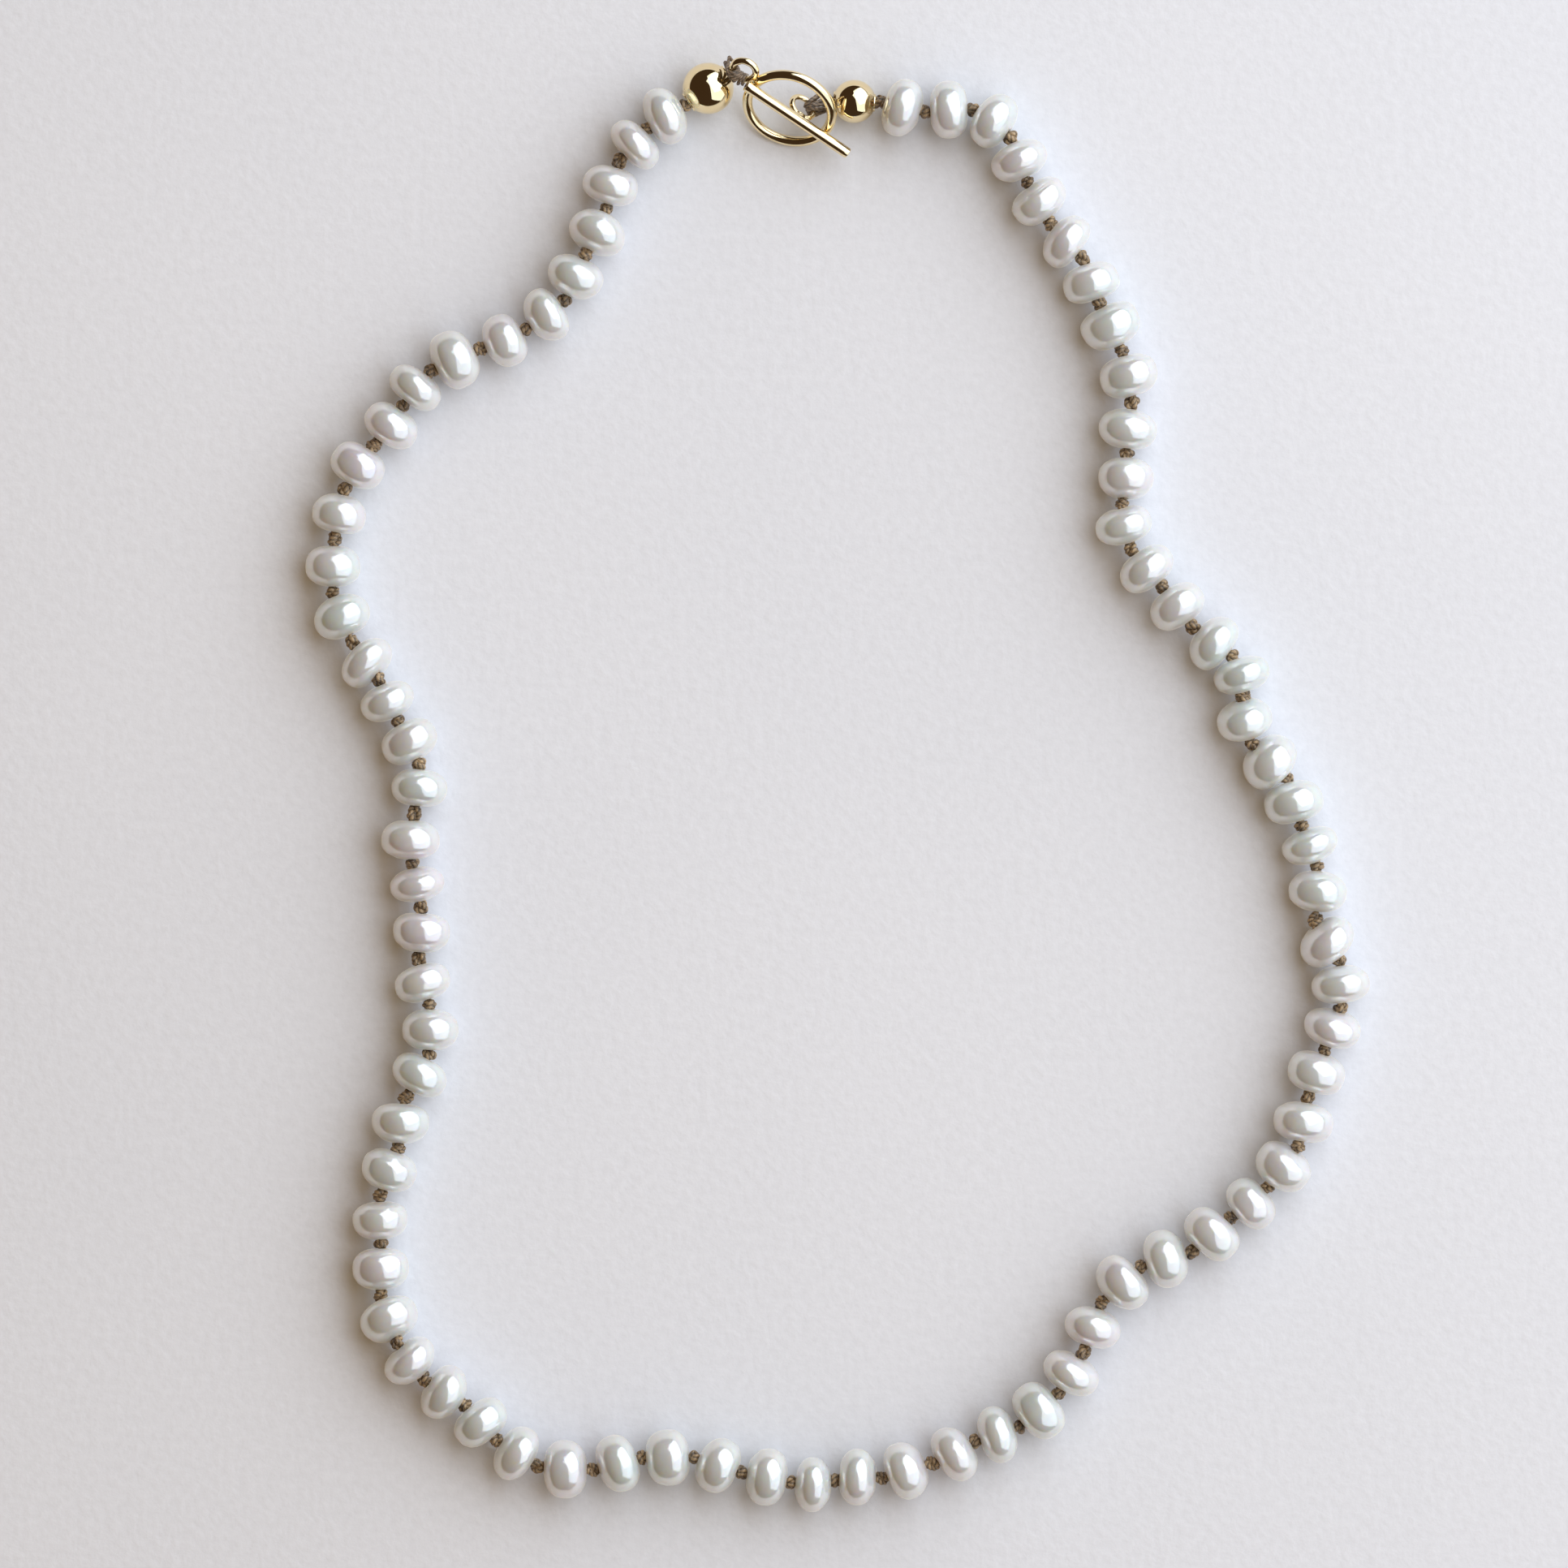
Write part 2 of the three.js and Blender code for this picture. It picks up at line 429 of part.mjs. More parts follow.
// ---------------------------------------------------------------- origin
const box = new THREE.Box3();
group.traverse((o) => { if (o.isMesh) box.union(new THREE.Box3().setFromBufferAttribute(o.geometry.attributes.position)); });
const shift = new THREE.Vector3(-(box.min.x + box.max.x) / 2, -(box.min.y + box.max.y) / 2, -box.min.z);
group.position.copy(shift);

const plus = (v) => v.clone().add(shift).toArray();
group.userData = {
  shift: shift.toArray(),
  nodes: info,
  clasp: {
    holdL: plus(holdL), holdR: plus(holdR), exitL: plus(exitL), exitR: plus(exitR), normal: normal.toArray(), e1: e1.toArray(), e2: e2.toArray(),
    ringC: plus(ringC), lugC: plus(lugC), barC: plus(barC), barDir: barDir.toArray(), eyeC: plus(eyeC), eyeAxis: eyeAxis.toArray(),
    wireL: wireL.toArray(), wireR: wireR.toArray(), beadL: plus(beadL.c), beadR: plus(beadR.c), axisL: beadL.axis.toArray(), axisR: beadR.axis.toArray(),
  },
  pearls: pearls.map((p) => [...plus(p.c), ...p.dir.toArray(), p.r, p.h]),
};
group.updateMatrixWorld(true);

export default group;
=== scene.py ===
"""Pearl necklace with a gold toggle clasp, laid flat and closed on a pale surface.

Lengths in the tables are millimetres in the row's own frame; everything is turned into metres when a mesh is made.
"""
import math
import random

import bpy
import numpy as np
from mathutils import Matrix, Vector, noise


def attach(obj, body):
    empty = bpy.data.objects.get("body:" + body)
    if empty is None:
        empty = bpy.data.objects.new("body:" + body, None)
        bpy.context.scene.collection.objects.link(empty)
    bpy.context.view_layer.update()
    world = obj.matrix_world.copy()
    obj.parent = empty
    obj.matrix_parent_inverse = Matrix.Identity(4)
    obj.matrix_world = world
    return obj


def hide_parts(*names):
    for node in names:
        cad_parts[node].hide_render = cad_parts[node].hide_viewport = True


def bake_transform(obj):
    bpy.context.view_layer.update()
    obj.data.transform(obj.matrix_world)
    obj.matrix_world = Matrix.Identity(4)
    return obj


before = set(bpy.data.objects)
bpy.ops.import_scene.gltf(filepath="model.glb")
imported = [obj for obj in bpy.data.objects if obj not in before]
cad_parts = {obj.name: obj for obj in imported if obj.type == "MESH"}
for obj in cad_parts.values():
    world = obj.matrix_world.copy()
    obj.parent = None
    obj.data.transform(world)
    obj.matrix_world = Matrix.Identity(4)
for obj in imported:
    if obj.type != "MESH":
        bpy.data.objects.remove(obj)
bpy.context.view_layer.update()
MM = 0.001

# One row a pearl, from the left gold bead round to the right one:
# centre, direction of the drill hole, radius, half thickness.
PEARLS = np.array([
    (-20.022, 77.625, 3.430, -0.911, -0.413, 0.000, 3.430, 2.260), (-23.482, 74.325, 3.325, -0.734, -0.679, 0.000, 3.325, 1.929),
    (-26.342, 69.525, 3.189, -0.262, -0.965, 0.000, 3.189, 2.261), (-27.892, 64.075, 3.474, -0.427, -0.891, 0.156, 3.391, 2.450),
    (-30.482, 58.905, 3.369, -0.357, -0.930, -0.087, 3.313, 2.406), (-33.932, 54.475, 3.234, -0.828, -0.561, 0.000, 3.234, 2.286),
    (-38.682, 51.545, 3.153, -0.914, -0.407, 0.000, 3.153, 2.385), (-44.442, 49.355, 3.520, -0.894, -0.440, 0.087, 3.461, 2.525),
    (-48.992, 46.055, 3.196, -0.636, -0.772, 0.000, 3.196, 2.073), (-51.842, 41.635, 3.268, -0.556, -0.827, -0.087, 3.216, 2.261),
    (-55.722, 36.995, 3.218, -0.494, -0.869, 0.000, 3.218, 2.409), (-57.872, 31.465, 3.181, -0.172, -0.985, 0.000, 3.181, 2.257),
    (-58.612, 25.315, 3.224, -0.026, -1.000, 0.000, 3.224, 2.443), (-57.572, 19.525, 3.418, 0.415, -0.906, 0.087, 3.360, 2.476),
    (-54.682, 14.185, 3.400, 0.663, -0.714, 0.225, 3.336, 2.044), (-52.312, 9.675, 3.209, 0.400, -0.916, 0.000, 3.209, 2.183),
    (-49.682, 4.955, 3.358, 0.416, -0.904, 0.105, 3.298, 2.299), (-48.572, -0.375, 3.260, -0.073, -0.997, 0.000, 3.260, 2.219),
    (-49.592, -6.415, 3.407, 0.000, -1.000, 0.000, 3.407, 2.301), (-48.812, -11.605, 3.287, 0.166, -0.984, -0.070, 3.248, 2.042),
    (-48.332, -17.215, 3.277, -0.045, -0.999, 0.000, 3.277, 2.317), (-48.202, -23.055, 3.271, 0.288, -0.954, 0.087, 3.223, 2.138),
    (-47.302, -28.425, 3.321, -0.037, -0.999, 0.000, 3.321, 2.429), (-48.552, -33.735, 3.288, -0.489, -0.872, 0.000, 3.288, 2.193),
    (-50.742, -39.345, 3.388, -0.059, -0.996, 0.070, 3.342, 2.372), (-52.062, -44.825, 3.275, -0.350, -0.937, 0.000, 3.275, 2.377),
    (-53.112, -50.595, 3.195, 0.068, -0.998, 0.000, 3.195, 2.224), (-53.062, -56.215, 3.269, -0.003, -1.000, 0.000, 3.269, 2.462),
    (-52.052, -62.075, 3.515, 0.401, -0.868, 0.292, 3.438, 2.388), (-49.612, -66.945, 3.372, 0.651, -0.752, -0.105, 3.315, 2.193),
    (-45.622, -70.575, 3.423, 0.824, -0.513, -0.242, 3.339, 2.316), (-41.412, -74.055, 3.360, 0.628, -0.778, 0.000, 3.360, 2.263),
    (-37.312, -77.595, 3.358, 0.838, -0.538, -0.087, 3.308, 2.196), (-31.612, -79.475, 3.369, 0.999, -0.035, 0.000, 3.369, 2.554),
    (-25.522, -78.755, 3.398, 0.953, 0.304, 0.000, 3.398, 2.405), (-19.702, -78.125, 3.349, 0.997, 0.044, 0.070, 3.299, 2.568),
    (-13.942, -79.005, 3.297, 0.933, -0.360, 0.000, 3.297, 2.425), (-8.262, -80.335, 3.329, 0.976, -0.216, 0.000, 3.329, 2.400),
    (-2.862, -81.235, 3.219, 1.000, -0.031, 0.000, 3.219, 2.156), (2.298, -80.395, 3.299, 0.998, -0.058, 0.000, 3.299, 2.225),
    (7.988, -79.565, 3.352, 0.937, 0.349, 0.000, 3.352, 2.393), (13.608, -77.655, 3.427, 0.844, 0.526, -0.105, 3.368, 2.258),
    (18.518, -75.445, 3.290, 0.965, 0.264, 0.000, 3.290, 2.237), (23.318, -72.655, 3.472, 0.757, 0.653, 0.000, 3.472, 2.491),
    (27.058, -68.325, 3.484, 0.478, 0.870, 0.122, 3.422, 2.205), (29.598, -62.985, 3.278, 0.281, 0.960, 0.000, 3.278, 2.328),
    (32.938, -57.915, 3.428, 0.755, 0.656, 0.000, 3.428, 2.459), (38.078, -55.045, 3.365, 0.975, 0.223, 0.000, 3.365, 2.493),
    (43.398, -52.165, 3.466, 0.669, 0.743, 0.000, 3.466, 2.451), (47.958, -48.615, 3.247, 0.744, 0.660, 0.105, 3.188, 2.238),
    (51.658, -44.375, 3.452, 0.600, 0.785, 0.156, 3.367, 2.472), (54.018, -39.175, 3.465, 0.143, 0.990, 0.000, 3.465, 2.318),
    (55.558, -33.415, 3.455, 0.331, 0.940, 0.087, 3.400, 2.380), (57.438, -28.295, 3.429, 0.276, 0.926, 0.259, 3.363, 2.138),
    (58.408, -23.175, 3.391, -0.105, 0.995, 0.000, 3.391, 2.234), (56.748, -18.205, 3.523, -0.652, 0.729, 0.208, 3.442, 2.301),
    (55.728, -12.395, 3.363, 0.051, 0.999, 0.000, 3.363, 2.419), (54.808, -7.135, 3.353, -0.301, 0.950, 0.087, 3.307, 2.055),
    (52.918, -2.005, 3.477, -0.230, 0.973, 0.000, 3.477, 2.380), (49.998, 2.755, 3.513, -0.696, 0.640, 0.326, 3.438, 2.473),
    (47.198, 7.565, 3.390, -0.270, 0.940, 0.208, 3.306, 2.308), (46.888, 12.745, 3.353, -0.307, 0.952, 0.000, 3.353, 2.066),
    (43.538, 16.515, 3.369, -0.805, 0.593, 0.000, 3.369, 2.280), (39.388, 20.715, 3.374, -0.566, 0.821, -0.070, 3.329, 2.337),
    (35.838, 25.045, 3.402, -0.631, 0.776, 0.000, 3.402, 2.230), (33.218, 30.065, 3.412, -0.236, 0.968, 0.087, 3.364, 2.155),
    (33.458, 35.505, 3.300, 0.090, 0.974, -0.208, 3.204, 2.443), (33.658, 41.255, 3.381, 0.096, 0.995, 0.000, 3.381, 2.377),
    (33.778, 47.385, 3.443, -0.261, 0.965, 0.000, 3.443, 2.490), (31.698, 53.185, 3.539, -0.438, 0.895, 0.087, 3.482, 2.473),
    (29.378, 58.295, 3.311, -0.317, 0.948, 0.000, 3.311, 2.209), (26.448, 63.095, 3.315, -0.791, 0.612, 0.000, 3.315, 2.115),
    (23.388, 67.665, 3.450, -0.556, 0.824, 0.105, 3.395, 2.167), (21.048, 72.425, 3.414, -0.370, 0.929, 0.000, 3.414, 2.226),
    (18.088, 77.005, 3.397, -0.798, 0.582, -0.156, 3.321, 2.283), (12.888, 78.335, 3.329, -1.000, -0.014, 0.000, 3.329, 2.248),
    (7.528, 78.565, 3.381, -0.951, 0.309, 0.000, 3.381, 2.247),
])

LEFT = [(36, 34), (33, 31), (30, 27), (26, 24), (23, 21), (20, 17), (16, 14), (13, 11), (10, 8), (7, 5), (4, 3), (2, 1)]
RIGHT = [(41, 43), (44, 46), (47, 49), (50, 53), (54, 57), (58, 60), (61, 63), (64, 66), (67, 69), (70, 72), (73, 75), (76, 77)]


def arr(*v):
    return np.array(v, float)


def unit(v):
    v = np.asarray(v, float)
    return v / np.linalg.norm(v)


def end_of(i, side):
    p = PEARLS[i - 1]
    return p[0:3] + side * p[7] * p[3:6]


def basis(x, hint=(0.0, 0.0, 1.0)):
    """Columns: x, y, z with z as near hint as it can be."""
    x = unit(x)
    h = np.asarray(hint, float)
    z = unit(h - (h @ x) * x)
    return np.stack([x, np.cross(z, x), z], 1)


# ------------------------------------------------------------------ meshes
def new_mesh(name, verts, faces, uvs=None, attrs=None, smooth=True):
    me = bpy.data.meshes.new(name)
    me.from_pydata([tuple(v) for v in (np.asarray(verts) * MM)], [], [tuple(f) for f in faces])
    me.update()
    if smooth:
        me.polygons.foreach_set("use_smooth", [True] * len(me.polygons))
    if uvs is not None:
        layer = me.uv_layers.new(name="UVMap")
        flat = np.array([uv for f in uvs for uv in f], np.float32).ravel()
        layer.data.foreach_set("uv", flat)
    for k, v in (attrs or {}).items():
        a = me.attributes.new(k, "FLOAT", "POINT")
        a.data.foreach_set("value", np.asarray(v, np.float32))
    ob = bpy.data.objects.new(name, me)
    bpy.context.scene.collection.objects.link(ob)
    return ob


def grid_faces(n, m, close_n, close_m):
    """Quads of an n by m grid of vertices; vertex k of row i is i*m+k."""
    i = np.arange(n if close_n else n - 1)
    k = np.arange(m if close_m else m - 1)
    a, b = np.meshgrid(i, k, indexing="ij")
    a, b = a.ravel(), b.ravel()
    a2, b2 = (a + 1) % n, (b + 1) % m
    return np.stack([a * m + b, a * m + b2, a2 * m + b2, a2 * m + b], 1)


def outward(name, verts, faces, **kw):
    """new_mesh, with the faces turned to point out of the closed surface."""
    v = np.asarray(verts)
    f = np.asarray([q[:3] for q in faces])
    t = np.asarray([[q[0], q[2], q[3]] for q in faces if len(q) == 4])
    tri = np.concatenate([f, t]) if len(t) else f
    vol = np.einsum("ij,ij->i", v[tri[:, 0]], np.cross(v[tri[:, 1]], v[tri[:, 2]])).sum()
    if vol < 0:
        faces = [tuple(reversed(q)) for q in faces]
        if kw.get("uvs") is not None:
            kw["uvs"] = [tuple(reversed(u)) for u in kw["uvs"]]
    return new_mesh(name, verts, faces, **kw)


def frames_along(pts, closed):
    """Parallel-transported normals of a line of points."""
    n = len(pts)
    if closed:
        tan = np.array([unit(pts[(i + 1) % n] - pts[i - 1]) for i in range(n)])
    else:
        tan = np.array([unit(pts[min(i + 1, n - 1)] - pts[max(i - 1, 0)]) for i in range(n)])
    ref = arr(0, 0, 1) if abs(tan[0][2]) < 0.9 else arr(1, 0, 0)
    nrm = [unit(ref - (ref @ tan[0]) * tan[0])]
    for i in range(1, n):
        v = nrm[-1] - (nrm[-1] @ tan[i]) * tan[i]
        nrm.append(unit(v))
    nrm = np.array(nrm)
    if closed:                       # spread the twist that is left over the whole loop
        last = unit(nrm[-1] - (nrm[-1] @ tan[0]) * tan[0])
        ang = math.atan2(np.cross(last, nrm[0]) @ tan[0], last @ nrm[0])
        for i in range(n):
            a = ang * i / n
            b = np.cross(tan[i], nrm[i])
            nrm[i] = math.cos(a) * nrm[i] + math.sin(a) * b
    return tan, nrm, np.cross(tan, nrm)


def rope(name, pts, radius, closed=False, plies=2, lay=1.3, depth=0.22, sides=14, phase=0.0, taper=None):
    """A twisted thread along pts: the section has one lobe a ply, and turns once every lay millimetres."""
    pts = np.asarray(pts, float)
    n = len(pts)
    tan, u, v = frames_along(pts, closed)
    seg = np.linalg.norm(np.diff(np.vstack([pts, pts[:1]]) if closed else pts, axis=0), axis=1)
    s = np.concatenate([[0], np.cumsum(seg)])[:n]
    total = seg.sum()
    turns = max(1, round(total / lay)) if closed else total / lay
    verts, us = [], []
    for i in range(n):
        tw = phase + 2 * math.pi * turns * s[i] / total
        r0 = radius * (taper[i] if taper is not None else 1.0)
        for k in range(sides):
            a = 2 * math.pi * k / sides
            lobe = abs(math.cos(plies * (a - tw) / 2)) ** 0.9
            r = r0 * (1 - depth + depth * lobe)
            verts.append(pts[i] + r * (math.cos(a) * u[i] + math.sin(a) * v[i]))
            # lobe height, kept as the "ply" attribute; the silk materials use it to paint shade in the grooves and a
            # highlight on the crests
            us.append(lobe)
    faces = [tuple(f) for f in grid_faces(n, sides, closed, True)]
    uvs = []
    for f in faces:
        q = []
        for j, vi in enumerate(f):
            i, k = divmod(vi, sides)
            si = s[i] if not (closed and f[0] // sides == n - 1 and i == 0) else total
            kk = k if not (k == 0 and f[0] % sides == sides - 1) else sides
            q.append((si, kk / sides))
        uvs.append(tuple(q))
    if not closed:
        for base, flip in ((0, True), ((n - 1) * sides, False)):
            ring = tuple(range(base, base + sides))
            faces.append(ring[::-1] if flip else ring)
            uvs.append(tuple((0.0, 0.0) for _ in ring))
    return new_mesh(name, verts, faces, uvs=uvs, attrs={"ply": us})


def join(name, obs):
    """One object from several, keeping the vertex and uv data."""
    me_v, me_f, me_uv, me_p = [], [], [], []
    base = 0
    for ob in obs:
        me = ob.data
        co = np.empty(len(me.vertices) * 3, np.float32)
        me.vertices.foreach_get("co", co)
        me_v.append(co.reshape(-1, 3).astype(float) / MM)
        ply = np.empty(len(me.vertices), np.float32)
        me.attributes["ply"].data.foreach_get("value", ply)
        me_p.append(ply)
        uvl = me.uv_layers.get("UVMap")
        for p in me.polygons:
            me_f.append(tuple(base + vi for vi in p.vertices))
            me_uv.append(tuple(tuple(uvl.data[li].uv) for li in p.loop_indices) if uvl else tuple((0, 0) for _ in p.vertices))
        base += len(me.vertices)
        bpy.data.objects.remove(ob)
        bpy.data.meshes.remove(me)
    return new_mesh(name, np.vstack(me_v), me_f, uvs=me_uv, attrs={"ply": np.concatenate(me_p)})


# ------------------------------------------------------------------ materials
def material(name):
    m = bpy.data.materials.new(name)
    m.use_nodes = True
    nt = m.node_tree
    bsdf = nt.nodes["Principled BSDF"]
    return m, nt, bsdf


def node(nt, kind, **props):
    n = nt.nodes.new(kind)
    for k, v in props.items():
        setattr(n, k, v)
    return n


def pearl_material():
    m, nt, b = material("nacre")
    L = nt.links.new
    tc = node(nt, "ShaderNodeTexCoord")
    # broad patches a few millimetres across, so no two pearls have quite one colour
    broad = node(nt, "ShaderNodeTexNoise")
    broad.inputs["Scale"].default_value = 95.0
    broad.inputs["Detail"].default_value = 2.0
    L(tc.outputs["Object"], broad.inputs["Vector"])
    r1 = node(nt, "ShaderNodeValToRGB")
    e = r1.color_ramp.elements
    e[0].position, e[0].color = 0.30, (0.594, 0.660, 0.658, 1)
    e[1].position, e[1].color = 0.70, (0.650, 0.635, 0.676, 1)
    mid = r1.color_ramp.elements.new(0.50)
    mid.color = (0.632, 0.660, 0.664, 1)
    L(broad.outputs["Fac"], r1.inputs["Fac"])
    # cloudy layers under the surface
    cloud = node(nt, "ShaderNodeTexNoise")
    cloud.inputs["Scale"].default_value = 420.0
    cloud.inputs["Detail"].default_value = 5.0
    cloud.inputs["Roughness"].default_value = 0.6
    L(tc.outputs["Object"], cloud.inputs["Vector"])
    r2 = node(nt, "ShaderNodeValToRGB")
    r2.color_ramp.elements[0].position, r2.color_ramp.elements[0].color = 0.35, (0.95, 0.94, 0.96, 1)
    r2.color_ramp.elements[1].position, r2.color_ramp.elements[1].color = 0.65, (1.0, 1.0, 0.985, 1)
    L(cloud.outputs["Fac"], r2.inputs["Fac"])
    mul = node(nt, "ShaderNodeMix", data_type="RGBA", blend_type="MULTIPLY")
    mul.inputs["Factor"].default_value = 1.0
    L(r1.outputs["Color"], mul.inputs["A"])
    L(r2.outputs["Color"], mul.inputs["B"])
    L(mul.outputs["Result"], b.inputs["Base Color"])
    # gloss that changes a little from place to place
    rr = node(nt, "ShaderNodeMapRange")
    rr.inputs["From Min"].default_value = 0.3
    rr.inputs["From Max"].default_value = 0.7
    rr.inputs["To Min"].default_value = 0.12
    rr.inputs["To Max"].default_value = 0.18
    L(cloud.outputs["Fac"], rr.inputs["Value"])
    L(rr.outputs["Result"], b.inputs["Roughness"])
    fine = node(nt, "ShaderNodeTexNoise")
    fine.inputs["Scale"].default_value = 1500.0
    fine.inputs["Detail"].default_value = 3.0
    L(tc.outputs["Object"], fine.inputs["Vector"])
    bump = node(nt, "ShaderNodeBump")
    bump.inputs["Strength"].default_value = 0.10
    bump.inputs["Distance"].default_value = 0.00004
    L(fine.outputs["Fac"], bump.inputs["Height"])
    L(bump.outputs["Normal"], b.inputs["Normal"])
    b.inputs["IOR"].default_value = 2.50
    b.inputs["Subsurface Weight"].default_value = 0.80
    b.inputs["Subsurface Radius"].default_value = (1.0, 0.62, 0.32)
    b.inputs["Subsurface Scale"].default_value = 0.0026
    b.inputs["Sheen Weight"].default_value = 0.75
    b.inputs["Sheen Roughness"].default_value = 0.35
    b.inputs["Sheen Tint"].default_value = (1.0, 0.93, 0.80, 1)
    b.inputs["Coat Weight"].default_value = 1.0
    b.inputs["Coat Roughness"].default_value = 0.07
    b.inputs["Coat IOR"].default_value = 2.05
    return m


def gold_material(name, rough=0.045, scratch=0.25):
    m, nt, b = material(name)
    L = nt.links.new
    tc = node(nt, "ShaderNodeTexCoord")
    n1 = node(nt, "ShaderNodeTexNoise")
    n1.inputs["Scale"].default_value = 700.0
    n1.inputs["Detail"].default_value = 4.0
    L(tc.outputs["Object"], n1.inputs["Vector"])
    ramp = node(nt, "ShaderNodeValToRGB")
    ramp.color_ramp.elements[0].position, ramp.color_ramp.elements[0].color = 0.25, (0.915, 0.735, 0.425, 1)
    ramp.color_ramp.elements[1].position, ramp.color_ramp.elements[1].color = 0.75, (0.955, 0.790, 0.490, 1)
    L(n1.outputs["Fac"], ramp.inputs["Fac"])
    L(ramp.outputs["Color"], b.inputs["Base Color"])
    b.inputs["Metallic"].default_value = 1.0
    # polishing marks: noise drawn out into fine lines
    mp = node(nt, "ShaderNodeMapping")
    mp.inputs["Rotation"].default_value = (0.4, 0.9, 0.3)
    mp.inputs["Scale"].default_value = (9000.0, 500.0, 900.0)
    L(tc.outputs["Object"], mp.inputs["Vector"])
    n2 = node(nt, "ShaderNodeTexNoise")
    n2.inputs["Scale"].default_value = 1.0
    n2.inputs["Detail"].default_value = 3.0
    L(mp.outputs["Vector"], n2.inputs["Vector"])
    rr = node(nt, "ShaderNodeMapRange")
    rr.inputs["From Min"].default_value = 0.35
    rr.inputs["From Max"].default_value = 0.75
    rr.inputs["To Min"].default_value = rough
    rr.inputs["To Max"].default_value = rough * 2.2
    L(n2.outputs["Fac"], rr.inputs["Value"])
    L(rr.outputs["Result"], b.inputs["Roughness"])
    wav = node(nt, "ShaderNodeTexNoise")
    wav.inputs["Scale"].default_value = 260.0
    wav.inputs["Detail"].default_value = 1.0
    L(tc.outputs["Object"], wav.inputs["Vector"])
    bump = node(nt, "ShaderNodeBump")
    bump.inputs["Strength"].default_value = scratch
    bump.inputs["Distance"].default_value = 0.00006
    L(wav.outputs["Fac"], bump.inputs["Height"])
    L(bump.outputs["Normal"], b.inputs["Normal"])
    return m


def silk_material(name, dark, light):
    m, nt, b = material(name)
    L = nt.links.new
    uv = node(nt, "ShaderNodeUVMap", uv_map="UVMap")
    tc = node(nt, "ShaderNodeTexCoord")
    # filaments: noise drawn out along the thread
    mp = node(nt, "ShaderNodeMapping")
    mp.inputs["Scale"].default_value = (1.6, 15.0, 1.0)
    L(uv.outputs["UV"], mp.inputs["Vector"])
    fib = node(nt, "ShaderNodeTexNoise")
    fib.inputs["Scale"].default_value = 2.0
    fib.inputs["Detail"].default_value = 3.0
    L(mp.outputs["Vector"], fib.inputs["Vector"])
    blot = node(nt, "ShaderNodeTexNoise")
    blot.inputs["Scale"].default_value = 900.0
    blot.inputs["Detail"].default_value = 2.0
    L(tc.outputs["Object"], blot.inputs["Vector"])
    add = node(nt, "ShaderNodeMath", operation="MULTIPLY_ADD")
    add.inputs[1].default_value = 0.45
    L(blot.outputs["Fac"], add.inputs[0])
    sc = node(nt, "ShaderNodeMath", operation="MULTIPLY")
    sc.inputs[1].default_value = 0.55
    L(fib.outputs["Fac"], sc.inputs[0])
    L(sc.outputs["Value"], add.inputs[2])
    ramp = node(nt, "ShaderNodeValToRGB")
    ramp.color_ramp.elements[0].position, ramp.color_ramp.elements[0].color = 0.36, (*dark, 1)
    ramp.color_ramp.elements[1].position, ramp.color_ramp.elements[1].color = 0.62, (*light, 1)
    L(add.outputs["Value"], ramp.inputs["Fac"])
    # painted shade and painted highlight: the colour is darkened to 0.20 in the grooves between the plies and lifted to
    # 1.15 on their crests, following the ply lobe height
    ply = node(nt, "ShaderNodeAttribute", attribute_name="ply")
    ply_shade_highlight = node(nt, "ShaderNodeMapRange")
    ply_shade_highlight.inputs["From Min"].default_value = 0.10
    ply_shade_highlight.inputs["From Max"].default_value = 0.80
    ply_shade_highlight.inputs["To Min"].default_value = 0.20
    ply_shade_highlight.inputs["To Max"].default_value = 1.15
    L(ply.outputs["Fac"], ply_shade_highlight.inputs["Value"])
    painted_ply_light = node(nt, "ShaderNodeMix", data_type="RGBA", blend_type="MULTIPLY")
    painted_ply_light.inputs["Factor"].default_value = 1.0
    L(ramp.outputs["Color"], painted_ply_light.inputs["A"])
    L(ply_shade_highlight.outputs["Result"], painted_ply_light.inputs["B"])
    L(painted_ply_light.outputs["Result"], b.inputs["Base Color"])
    bump = node(nt, "ShaderNodeBump")
    bump.inputs["Strength"].default_value = 0.6
    bump.inputs["Distance"].default_value = 0.00003
    L(fib.outputs["Fac"], bump.inputs["Height"])
    L(bump.outputs["Normal"], b.inputs["Normal"])
    b.inputs["Roughness"].default_value = 0.42
    b.inputs["IOR"].default_value = 1.54
    b.inputs["Sheen Weight"].default_value = 0.35
    b.inputs["Sheen Roughness"].default_value = 0.35
    return m


NACRE = pearl_material()
GOLD = gold_material("gold_polished", 0.035, 0.16)
GOLD_WIRE = gold_material("gold_wire", 0.05, 0.30)
SILK = silk_material("silk_knot", (0.046, 0.025, 0.010), (0.430, 0.295, 0.160))
SILK_WRAP = silk_material("silk_wrap", (0.050, 0.031, 0.019), (0.310, 0.225, 0.150))


def finish_piece(ob, mat, slot, body, *nodes):
    ob.data.materials.append(mat)
    if isinstance(body, tuple):
        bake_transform(ob)
    else:
        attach(ob, body)
    if nodes:
        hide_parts(*nodes)
    return ob


# ------------------------------------------------------------------ pearls
AROUND, ALONG = 64, 34
HOLE = 0.36


